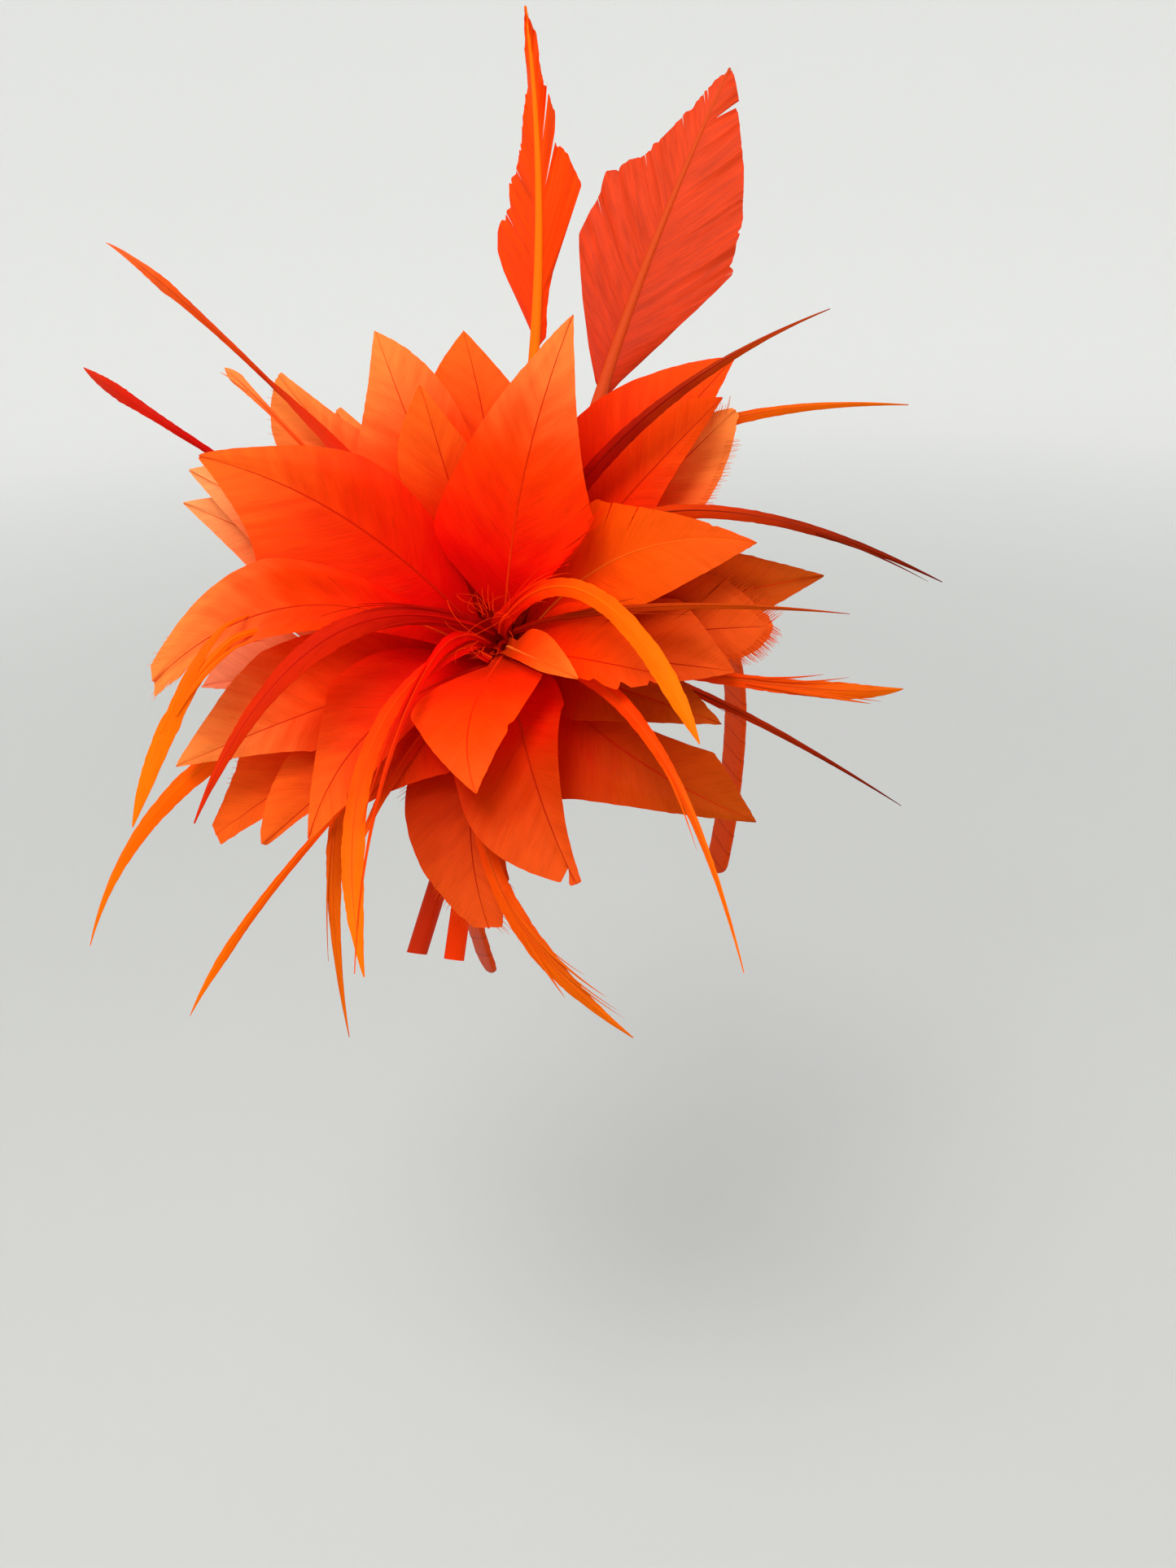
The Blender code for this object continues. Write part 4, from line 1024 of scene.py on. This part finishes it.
def side_blade(strand, points, blade, lift_on, ripens, seed):
    """A narrow blade that moves aside from the strand by start + (aside - start) * t^1.6."""
    leaves, ends, aside, width = blade
    on = np.linspace(leaves, ends, BRANCH_POINTS)
    share = (on - leaves) / (ends - leaves)
    base = bow(*points, on)
    start = np.sign(aside) * 0.3 * strand["width"] / 2
    path = base + square_to(base) * (start + (aside - start) * share ** 1.6)[:, None]
    half = width / 2 * blade_share(share, 0.35, 0.5, 1.5)
    return strand_sheet(path, half, strand["ring"], 0.1, 0.25 + 0.6 * share + lift_on(on), seed, on ** ripens)


def make_strand(row, number):
    """The blade, the side blades and the shaft of one strand."""
    strand = dict(zip(STRAND_COLUMNS, row))
    name, ring = strand["name"], strand["ring"]
    points = (polar(strand["root_clock"], ROOT_REACH), polar(strand["bend_clock"], strand["bend_reach"]),
              polar(strand["tip_clock"], strand["tip_reach"]))
    below, rise_from, rise_to = HIDDEN_STARTS.get(name, (0.0, 0.0, 1.0))
    late, ripens = LATE_BLADES.get(name, (1, 1.0))
    seed = 900 + 10 * number

    def lift_on(share):
        """How far the hidden start lies under the dome: -below * (1 - rise)."""
        return -below * (1 - rise(share, rise_from, rise_to))

    along = np.linspace(0, 1, STRAND_POINTS)
    half = strand["width"] / 2 * blade_share(along, strand["widest_at"], strand["foot"], strand["trim"], late)
    line = bow(*points, along)
    parts = [strand_sheet(line, half, ring, strand["fold"], lift_on(along), seed, along ** ripens)]
    blades = [blade[1:] for blade in SIDE_BLADES if blade[0] == name]
    parts += [side_blade(strand, points, blade, lift_on, ripens, seed + 3 + branch)
              for branch, blade in enumerate(blades)]
    short = along[:SHAFT_END]
    shaft = bow(*points, short)
    height = dome(ring, shaft[:, 0], shaft[:, 1]) + lift_on(short) + 0.12
    radius = np.maximum(0.42 * (1 - short) + 0.06, 0.1)
    path = np.concatenate([shaft, height[:, None]], 1)
    parts.append(tube_along(path, radius, 6, (short, 0.0, short ** ripens, 1.0), flat=0.7))
    node = "strand_" + name
    return make_piece("feather_" + node, parts, STRAND_DYES[strand["dye"]], node)


strand_pieces = [make_strand(row, number) for number, row in enumerate(STRANDS)]
print("strand triangles:", triangles(strand_pieces))

# %% [markdown]
# ## The two tall quills
#
# A quill is a wing feather with its full shaft. The lower shaft is bare and round; the upper
# part carries the trimmed blade. The left quill is folded back on both sides, so it looks
# narrow; the right one is open and broad. Both are measured up the flower's face, in mm. The
# broad one bows over its whole length, the other one only above 60 mm.

# %% The quills' measures
QUILLS = {
    "quill_broad": {
        "foot": -98.0, "tip": 210.0, "depth": 3.45, "across": -4.5, "lean": 0.2, "bow": 0.00015,
        "bow_from": None, "stem_width": 6.6, "neck_width": 4.4, "tip_width": 1.0, "blade_from": 90.0,
        "fold": 8.0, "dye": "coral", "ripple": 1.0, "ragged": 0.08, "sway": -2.3,
        "left_lean": (0.75, 1.9), "right_lean": (0.75, 1.9),
        "left_splits": ((0.30, 0.8, 0.5), (0.52, 0.8, 0.7), (0.72, 0.7, 0.7), (0.845, 0.5, 1.0),
                        (0.865, 0.45, 1.0)),
        "right_splits": ((0.20, 0.8, 0.5), (0.42, 0.85, 0.5), (0.82, 0.15, 2.8)),
        "left_bites": ((0.40, 1.2, 0.8), (0.55, 1.5, 1.0)),
        "right_bites": ((0.22, 1.0, 0.8), (0.31, 1.2, 0.8)),
    },
    "quill_twisted": {
        "foot": -98.0, "tip": 233.0, "depth": 9.8, "across": -7.5, "lean": 0.0, "bow": -0.00075,
        "bow_from": 60.0, "stem_width": 6.4, "neck_width": 3.6, "tip_width": 1.0, "blade_from": 102.0,
        "fold": 35.0, "dye": "bright", "ripple": 1.1, "ragged": 0.14, "sway": 0.0,
        "left_lean": (1.2, 3.0), "right_lean": (2.0, 9.0),
        "left_splits": ((0.24, 0.7, 0.8), (0.40, 0.7, 0.8)),
        "right_splits": ((0.39, 0.15, 4.0), (0.52, 0.15, 5.0)),
        "left_bites": ((0.22, 1.5, 0.8), (0.34, 1.2, 1.0), (0.48, 1.5, 0.8)), "right_bites": (),
    },
}
print("quill lengths in mm:", [quill["tip"] - quill["foot"] for quill in QUILLS.values()])

# %% [markdown]
# The blades were cut with bold snips, so their outlines are corners joined by straight cuts. Each
# corner is (height, mm aside from the shaft).

# %% The quills' outlines
BLADES = {
    ("quill_broad", "left"): (
        (94.5, 1.5), (108, 9.5), (125, 18.5), (139, 25.5), (146, 29), (151, 28.5), (159, 27.5), (168.5, 28.5),
        (171, 24), (177, 18), (187, 11.5), (197.5, 6), (210, 1)),
    ("quill_broad", "right"): (
        (94, 2), (103.5, 6.5), (115, 13.5), (130.5, 22), (145, 29), (147.5, 27.5), (158, 26.5), (164, 25),
        (180.5, 18.5), (199.5, 8), (201, 7), (206.5, 4), (210, 1)),
    ("quill_twisted", "left"): (
        (103, 1), (110.5, 1.2), (124.5, 9.5), (142, 19.5), (153.5, 24), (161.5, 24), (165, 19.5), (166, 16),
        (176, 16.5), (179.5, 11.5), (186.5, 8.5), (199, 5), (216, 2.7), (228, 1.2)),
    ("quill_twisted", "right"): (
        (102, 2), (107, 3.5), (125, 3.8), (139, 5.5), (149, 9.5), (163, 14.5), (170, 15.7), (180, 11),
        (185, 6.7), (194.5, 7.4), (202, 5.7), (203, 4.6), (210, 3.5), (223.5, 3.3), (230, 1)),
}
print("corners of the quills' outlines:", [len(corners) for corners in BLADES.values()])

# %% [markdown]
# The shaft is a ring of points carried up a curved line. Its face has a shallow groove, made by
# pulling the ring in at one side, and the cut lower end is hollow, as a quill's is.

# %% The quills' shafts
SHAFT_RINGS = 130
SHAFT_SIDES = 16
SWAY_FROM = 60.0
GROOVE = 0.14


def quill_middle(quill, up):
    """across + lean * up + bow * past^2 + sway * sin(pi t).

    past counts from bow_from, or from 0 both ways; t is the share of the way from 60 mm to the tip."""
    past = up if quill["bow_from"] is None else np.maximum(up - quill["bow_from"], 0.0)
    share = np.clip((up - SWAY_FROM) / (quill["tip"] - SWAY_FROM), 0, 1)
    sway = quill["sway"] * np.sin(np.pi * share)
    return quill["across"] + quill["lean"] * up + quill["bow"] * past * past + sway


def quill_radius(quill, up):
    """Half of the stem's width: narrowing by the square up to the blade, then evenly to the tip."""
    stem = np.clip((up - quill["foot"]) / (quill["blade_from"] - quill["foot"]), 0, 1)
    blade = np.clip((up - quill["blade_from"]) / (quill["tip"] - quill["blade_from"]), 0, 1)
    neck = quill["stem_width"] + (quill["neck_width"] - quill["stem_width"]) * stem ** 2
    return (neck + (quill["tip_width"] - quill["neck_width"]) * blade) / 2


def quill_shaft(quill):
    """Rings of radius r * (1 - groove), with three smaller rings in the hollow cut end."""
    up = np.linspace(quill["foot"], quill["tip"], SHAFT_RINGS)
    radius = quill_radius(quill, up)
    up = np.concatenate([np.full(3, quill["foot"]) + [4.0, 0.6, 0.0], up])
    radius = np.concatenate([radius[0] * np.array([0.55, 0.72, 0.86]), radius])
    angle = circle(SHAFT_SIDES)[None, :]
    groove = 1 - GROOVE * np.exp(-((angle - np.pi / 2) / 0.35) ** 2)
    x = quill_middle(quill, up)[:, None] + radius[:, None] * groove * np.cos(angle)
    z = quill["depth"] + radius[:, None] * groove * np.sin(angle)
    rings = np.stack([x, np.broadcast_to(up[:, None], x.shape), z], -1)
    points, quads = closed_tube(rings[:, ::-1])
    along = np.repeat(np.clip((up - quill["foot"]) / (quill["tip"] - quill["foot"]), 0, 1), SHAFT_SIDES)
    return points, quads, (np.repeat(up, SHAFT_SIDES), 0.0, along, 1.0)


print("stem radii in mm:", [round(float(quill_radius(quill, quill["foot"])), 2) for quill in QUILLS.values()])

# %% [markdown]
# The blade folds back by an angle on each side. A turned hinge could fold it, but a fold is only
# a cosine across and a sine in depth, so the barbs are laid out folded.

# %% Make the quills
WIDEST_QUILL = 32.0
QUILL_BARB_BEND = 0.004
QUILL_SIDE_SHIFT = 400


def quill_vane(name, side, word, number):
    """Locks of one vane: across = aside * cos(fold), depth = -aside * sin(fold), and a ripple."""
    quill = QUILLS[name]
    length = quill["tip"] - quill["blade_from"]
    fold = np.radians(quill["fold"])
    up_rows, aside_rows = np.array(BLADES[name, word], float).T

    def outline(share):
        """Half width between the corners of the cut outline."""
        return np.interp(quill["blade_from"] + share * length, up_rows, aside_rows, left=0.3, right=0.0)

    seed = 3000 + 100 * number + 7 * side
    locks = vane_locks(length, outline, WIDEST_QUILL, quill[word + "_lean"], QUILL_BARB_BEND, seed,
                       quill[word + "_splits"], quill[word + "_bites"], quill["ragged"], first=0.015)
    parts = []
    for along, aside, share, root in locks:
        up = quill["blade_from"] + along
        slope = quill_middle(quill, up + 0.5) - quill_middle(quill, up - 0.5)
        reach = side * aside * np.cos(fold) / np.sqrt(1 + slope * slope)
        ridge = smooth_noise(root / 4.2, seed + 5) + 0.35 * smooth_noise(root / 1.5, seed + 6)
        wave = 1.6 * smooth_noise(root / 16.0, seed + 8)
        ripple = quill["ripple"] * (ridge * share ** 1.5 + wave * share ** 2)
        depth = quill["depth"] - aside * np.sin(fold) + ripple + 0.3
        marks = (root + QUILL_SIDE_SHIFT * side, aside, 0.3 + 0.7 * along / length, 0 * along)
        x = quill_middle(quill, up) + reach
        parts.append(thin_sheet(x, up - reach * slope, depth, 0.4 - 0.24 * share, side > 0, marks))
    return parts


def make_quill(name, number):
    """Both vanes and the shaft of one quill."""
    parts = [part for side, word in SIDES for part in quill_vane(name, side, word, number)]
    parts.append(quill_shaft(QUILLS[name]))
    return make_piece("feather_" + name, parts, QUILL_DYES[QUILLS[name]["dye"]], name)


quill_pieces = [make_quill(name, number) for number, name in enumerate(QUILLS)]
print("quill triangles:", triangles(quill_pieces))

# %% [markdown]
# ## The flower's middle
#
# All stems run together in the middle and are bound into a core. From the front one sees a dark
# funnel with the roots going down into it. The core is a turned shape: a profile of radius and
# height carried round the flower's axis, with the binding thread as low rings.

# %% Make the bound core
CORE_SIDES = 32
THREAD_SWELL = 0.03
CORE_PROFILE = ((7.6, 13.4), (7.7, 14.0), (7.0, 16.0), (5.8, 18.0), (4.6, 20.0), (3.6, 22.0), (2.8, 23.5),
                (2.2, 24.2), (1.4, 24.0), (1.0, 22.0), (0.6, 20.0))
CORE_COLOURS = ((0.45, 0.003, 0.001), (0.55, 0.004, 0.001), (0.60, 0.006, 0.001), (0.4, 0.005, 0.001),
                (0.4, 0.005, 0.001))


def core_rings():
    """x = r cos, y = r sin, z = height; the thread makes r larger by 0.03 * |sin(5 height)| of itself."""
    angle = circle(CORE_SIDES)
    radius, height = np.array(CORE_PROFILE).T[:, :, None]
    rings = np.stack([radius * np.cos(angle), radius * np.sin(angle), height + 0 * angle], -1)
    swell = 1 + THREAD_SWELL * np.abs(np.sin(5 * rings[..., 2:3]))
    return rings * np.concatenate([swell, swell, np.ones_like(swell)], -1)


core_points, core_quads = closed_tube(core_rings())
core_marks = (np.tile(np.linspace(0, 60, CORE_SIDES), len(CORE_PROFILE)), core_points[:, 2], 0.2, 0.0)
core_fibre = feather_material("core_fibre", CORE_COLOURS, glow=0.05, comb=0.6, roughness=0.75)
core_piece = make_piece("bound_core", [(core_points, core_quads, core_marks)], core_fibre, "flower_core")
print("core triangles:", triangles([core_piece]))

# %% [markdown]
# A few loose barbs curl over the funnel's mouth. Nine that show as single hairs are listed
# as (start, bend, end, thickness), and eighteen small ones stand round it at random.

# %% Make the loose barbs
LOOSE_BARBS = (
    ((-13.0, 8.5, 44.0), (-9.0, 0.5, 46.5), (0.5, -2.5, 43.0), 0.11),
    ((-14.5, 6.0, 43.0), (-12.5, -1.0, 46.0), (-6.0, -1.0, 44.5), 0.09),
    ((-10.0, 10.0, 44.5), (-6.0, 6.5, 47.0), (-2.0, 8.0, 44.5), 0.09),
    ((-5.0, -1.0, 44.5), (0.5, 3.5, 47.0), (5.5, 4.5, 45.0), 0.09),
    ((-3.0, -1.5, 44.0), (3.0, 0.0, 47.5), (10.5, 6.5, 46.0), 0.10),
    ((-0.5, 7.0, 43.0), (-1.6, 9.5, 46.5), (-1.2, 12.0, 47.5), 0.20),
    ((0.5, 6.5, 43.0), (0.2, 9.5, 46.5), (0.6, 13.0, 47.5), 0.18),
    ((1.4, 6.5, 43.0), (2.2, 9.0, 46.0), (2.0, 11.0, 47.0), 0.16),
    ((-2.2, 6.5, 42.0), (-3.4, 9.0, 45.0), (-3.2, 10.5, 46.0), 0.16),
)
FLUFF = 18


def fluff(number):
    """Rows of small barbs round the mouth: each starts on a ring, rises, and leans over as it goes out."""
    random = np.random.default_rng(52)
    clock = random.uniform(0, 360, number)
    reach = random.uniform(3.0, 9.0, number)
    far = reach + random.uniform(3.0, 7.0, number)
    start = polar(clock, reach)
    bend = polar(clock + random.uniform(-25, 25, number), (reach + far) / 2)
    end = polar(clock + random.uniform(-45, 45, number), far)
    lift = random.uniform(2.0, 3.5, number)
    foot = 43.5 + 0.05 * reach
    courses = ((start, foot), (bend, foot + lift), (end, foot + 0.6 * lift))
    return [(*course, 0.09) for course in zip(*(np.stack([*flat, height], 1) for flat, height in courses))]


def loose_barb(start, bend, end, thick):
    """A thin tube on a quadratic curve: radius = thick * (1 - 0.7 t)."""
    along = np.linspace(0, 1, 24)
    path = bow(np.array(start), np.array(bend), np.array(end), along)
    return tube_along(path, thick * (1 - 0.7 * along), 6, (along, 0.0, 0.4, 0.0))


loose_rows = [*LOOSE_BARBS, *fluff(FLUFF)]
make_piece("loose_barbs", [loose_barb(*row) for row in loose_rows], STRAND_DYES["orange"])
print("loose barbs:", len(loose_rows))

# %% [markdown]
# ## The satin headband
#
# A springy strip is wound with satin ribbon, so each turn's edge makes a low slanting step. The
# band is a flat section carried along the arch. The step is a saw wave of the distance along the
# band, slanted across it. A bump map could fake the steps, but they show in the outline from the
# side.

# %% The headband's course
BAND_HALF_SPAN = 66.0
BAND_SHOULDER = 80.0
BAND_END_HALF_SPAN = 57.0
BAND_DROP = 150.0
BAND_STEPS = 170


def band_course(steps):
    """The arch's x and z from the right end to the left: a quarter ellipse and a leg, mirrored."""
    turn = np.linspace(0, np.pi / 2, steps)
    leg = np.linspace(0, 1, steps * 3 // 5)[1:]
    x = np.concatenate([BAND_HALF_SPAN * np.sin(turn),
                        BAND_HALF_SPAN + (BAND_END_HALF_SPAN - BAND_HALF_SPAN) * leg ** 2])
    z = np.concatenate([-BAND_SHOULDER * (1 - np.cos(turn)),
                        -BAND_SHOULDER + (BAND_SHOULDER - BAND_DROP) * leg])
    return np.concatenate([-x[:0:-1], x]), np.concatenate([z[:0:-1], z])


band_x, band_z = band_course(BAND_STEPS)
band_run = length_along(np.hypot(np.diff(band_x), np.diff(band_z)))
print("headband length along its line: %.0f mm" % band_run[-1])

# %% [markdown]
# The section is a flat rounded one, and it narrows at both ends to the band's rounded tips. A box
# with a bevel would be flatter than the wound ribbon is.

# %% The band's section with the ribbon's steps
BAND_WIDTH = 12.0
BAND_THICK = 2.4
BAND_SIDES = 24
RIBBON_TURN = 8.5
RIBBON_STEP = 0.3
STEP_EDGE = 0.06


def rounded(wave, power):
    """The wave with its flanks made steeper: sign * |wave|^power."""
    return np.sign(wave) * np.abs(wave) ** power


def band_rings(x, z, run):
    """course + out * lift, where lift = T/2 + (T/2 - 0.15 + step) * high for the thickness T.

    step = 0.3 * (1 - part of a turn), and high and the width are a rounded sine and cosine."""
    along = unit_rows(np.stack([np.gradient(x), np.gradient(z)], 1))
    inset = np.clip(1 - np.minimum(run, run[-1] - run) / (BAND_WIDTH / 2), 0, 1)
    half_width = BAND_WIDTH / 2 * np.sqrt(np.clip(1 - inset ** 2, 0.04, 1))[:, None]
    angle = circle(BAND_SIDES)[None, :]
    high = rounded(np.sin(angle), 0.6)
    y = half_width * rounded(np.cos(angle), 0.35)
    part = ((run[:, None] + 0.5 * y * np.sign(high)) / RIBBON_TURN) % 1.0
    step = RIBBON_STEP * (1 - part) * np.where(part < STEP_EDGE, part / STEP_EDGE, 1)
    lift = BAND_THICK / 2 + (BAND_THICK / 2 - RIBBON_STEP / 2 + step) * high
    rings = np.stack([x[:, None] - along[:, 1:] * lift, y, z[:, None] + along[:, :1] * lift], -1)
    return rings[:, ::-1]


band_points, band_quads = closed_tube(band_rings(band_x, band_z, band_run))
band_marks = (np.repeat(band_run, BAND_SIDES), band_points[:, 1],
              np.repeat(band_run / band_run[-1], BAND_SIDES), 0.0)
print("turns of ribbon: %.0f" % (band_run[-1] / RIBBON_TURN))

# %% [markdown]
# Satin shines in streaks, because its threads float side by side over long stretches. The
# material stretches noise along the ribbon's slant for those threads and makes them lighter and
# darker as painted sheen, with their roughness changing too, and darkens the fold at each turn's
# edge as painted shade. An anisotropic shader would stretch the shine too, but shows no threads.

# %% Satin
def satin_material():
    """Colour from stretched noise as painted sheen, darker as painted shade where the part of a turn is under
    0.16.
    """
    material, tree, surface = new_material("ribbon_satin")
    run, out = (add(tree, "Attribute", attribute_name=mark).outputs["Fac"] for mark in MARKS[:2])
    slanted = plus(tree, run, times(tree, out, 0.5))
    part = part_of_one(tree, over(tree, slanted, RIBBON_TURN))
    # Painted shade in the fold at each turn's edge.
    fold = span(tree, part, 0.0, 0.16, 1.0, 0.0)
    thread = noise(tree, point(tree, times(tree, slanted, 2.6), times(tree, out, 0.12), 0.0), 1.0, 3.0)
    crease = noise(tree, point(tree, times(tree, slanted, 0.35), times(tree, out, 0.3), 5.0), 1.0, 2.0)
    # Painted sheen: the threads' noise makes the satin lighter and darker in streaks.
    colour = mix(tree, thread, (0.50, 0.026, 0.001, 1), (0.72, 0.062, 0.002, 1))
    colour = mix(tree, times(tree, fold, 0.6), colour, (0.30, 0.012, 0.002, 1))
    height = plus(tree, times(tree, thread, 0.25), crease)
    bump = add(tree, "Bump", {"Strength": 0.5, "Distance": 0.0006, "Height": height}).outputs[0]
    rough = span(tree, thread, 0.2, 0.8, 0.42, 0.60)
    plug(tree, surface, {"Base Color": colour, "Normal": bump, "Roughness": rough, "Specular IOR Level": 0.18,
                         "Specular Tint": (1.0, 0.45, 0.20, 1.0)})
    return material


make_piece("satin_headband", [(band_points, band_quads, band_marks)], satin_material(), "headband",
           face=False)
print("the headband is covered in satin")

# %% [markdown]
# Felt is the opposite: matt, with short fibres in every direction, so noise at two scales,
# stretched by nothing, makes its nap. Hair would give real fibres, but the base is small and lies
# in the flower's shadow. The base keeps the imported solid, which has the right shape already.

# %% Felt
def felt_material():
    """Colour and relief from a fine noise and a coarse one."""
    material, tree, surface = new_material("base_felt")
    place = add(tree, "TexCoord").outputs["Object"]
    nap = noise(tree, place, 900.0, 4.0, 0.7)
    cloud = noise(tree, place, 60.0, 3.0)
    colour = mix(tree, nap, (0.38, 0.018, 0.003, 1), (0.80, 0.07, 0.008, 1))
    colour = mix(tree, times(tree, cloud, 0.5), colour, (0.55, 0.03, 0.004, 1))
    height = plus(tree, nap, times(tree, cloud, 0.6))
    bump = add(tree, "Bump", {"Strength": 0.7, "Distance": 0.0005, "Height": height}).outputs[0]
    rough = span(tree, nap, 0.0, 1.0, 0.85, 1.0)
    plug(tree, surface, {"Base Color": colour, "Normal": bump, "Roughness": rough, "Sheen Weight": 0.4,
                         "Sheen Tint": (1.0, 0.35, 0.2, 1.0)})
    return material


felt_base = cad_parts["felt_base"].data
felt_base.materials.clear()
felt_base.materials.append(felt_material())
print("the base is felt")

# %% [markdown]
# ## The room
#
# The picture was taken in a pale room under soft daylight. A floor that rises into a wall all
# round, like a shallow bowl, gives that light and has no edge from any side. It is a turned
# shape too, but in the room's axes.

# %% Floor
FLOOR_HEIGHT = -0.40
FLOOR_SIDES = 96
WALL_HEIGHT = 4.6
WALL_FROM = 2.4
WALL_TO = 5.8


def floor_material():
    """Soft grey clouds near the piece, growing into a paler wall up to 3 m out."""
    material, tree, surface = new_material("pale_floor")
    place = add(tree, "TexCoord").outputs["Object"]
    far = add(tree, "VectorMath", {0: place}, operation="LENGTH").outputs["Value"]
    near_colour = mix(tree, noise(tree, place, 1.2, 2.0), (0.50, 0.505, 0.495, 1), (0.53, 0.535, 0.525, 1))
    colour = mix(tree, span(tree, far, 0.5, 3.0, kind="SMOOTHSTEP"), near_colour, (0.86, 0.86, 0.85, 1))
    plug(tree, surface, {"Base Color": colour, "Roughness": 0.9, "Specular IOR Level": 0.1})
    return material


def room_floor():
    """height = floor + 4.6 * S-shaped rise of the radius from 2.4 m to 5.8 m."""
    radius = np.concatenate([[0.1], np.linspace(0.4, WALL_FROM, 6), np.linspace(2.5, WALL_TO, 30)])[:, None]
    angle = circle(FLOOR_SIDES)
    height = FLOOR_HEIGHT + WALL_HEIGHT * rise(radius, WALL_FROM, WALL_TO)
    grid = np.stack([radius * np.cos(angle), radius * np.sin(angle), height + 0 * angle], -1)
    index = np.arange(radius.size * FLOOR_SIDES).reshape(-1, FLOOR_SIDES)
    after = np.roll(index, -1, axis=1)
    quads = np.stack([index[:-1], index[1:], after[1:], after[:-1]], -1).reshape(-1, 4)
    mesh = bpy.data.meshes.new("room_floor")
    mesh.from_pydata(grid.reshape(-1, 3).tolist(), [], quads.tolist() + [list(range(FLOOR_SIDES))])
    mesh.shade_smooth()
    mesh.materials.append(floor_material())
    floor = bpy.data.objects.new("room_floor", mesh)
    bpy.context.scene.collection.objects.link(floor)
    return floor


floor = room_floor()
print("floor at %.2f m" % FLOOR_HEIGHT)

# %% [markdown]
# ## Light
#
# The light is soft and comes from above and a little from the left, so one large area light
# stands there, a weaker one fills from the right, and the sky fills the rest. A sky picture
# would do the same, but these three are easier to change.

# %% Light
LIT_PLACE = np.array([-0.06, -0.03, 0.0])


def aimed(place, back, roll=0.0):
    """A matrix at a place: back is its z axis, and roll turns right and up about it."""
    back = back / np.linalg.norm(back)
    right = np.cross([0.0, 0.0, 1.0], back)
    right /= np.linalg.norm(right)
    up = np.cross(back, right)
    turn = np.radians(roll)
    matrix = np.eye(4)
    matrix[:3, 0] = np.cos(turn) * right - np.sin(turn) * up
    matrix[:3, 1] = np.sin(turn) * right + np.cos(turn) * up
    matrix[:3, 2], matrix[:3, 3] = back, place
    return Matrix(matrix.tolist())


def area_light(name, place, size, power, colour):
    """A square light at a place in metres that shines at the flower."""
    light = bpy.data.lights.new(name, "AREA")
    light.size, light.energy, light.color = size, power, colour
    lamp = bpy.data.objects.new(name, light)
    bpy.context.scene.collection.objects.link(lamp)
    lamp.matrix_world = aimed(np.array(place), np.array(place) - LIT_PLACE)


area_light("key_light", (-0.75, -0.35, 1.45), 0.8, 19.0, (1.0, 0.99, 0.97))
area_light("fill_light", (1.0, -1.1, 0.7), 1.2, 3.0, (1.0, 1.0, 1.0))
world = bpy.data.worlds.new("pale_room")
bpy.context.scene.world = world
world.use_nodes = True
sky = world.node_tree.nodes["Background"]
plug(world.node_tree, sky, {"Color": (0.985, 1.0, 0.99, 1.0), "Strength": 0.95})
print("lights:", len(bpy.data.lights))

# %% [markdown]
# ## Camera
#
# The camera stands close, in front of the flower and above it, with the wide lens of a phone. Its
# three axes are written into a matrix, because that holds the small roll as well.

# %% Camera
CAMERA_PLACE = np.array([-0.246, -0.326, 0.115])
CAMERA_TURN = -36.0
CAMERA_TILT = 26.5
CAMERA_ROLL = 1.6
camera_data = bpy.data.cameras.new("camera")
camera_data.lens = 27.05
camera_data.clip_start = 0.01
camera = bpy.data.objects.new("camera", camera_data)
bpy.context.scene.collection.objects.link(camera)
camera.matrix_world = aimed(CAMERA_PLACE, facing(CAMERA_TURN, CAMERA_TILT), CAMERA_ROLL)
bpy.context.scene.camera = camera
bpy.context.scene.view_settings.view_transform = "Standard"
bpy.context.scene.view_settings.look = "None"
print("camera at", CAMERA_PLACE)
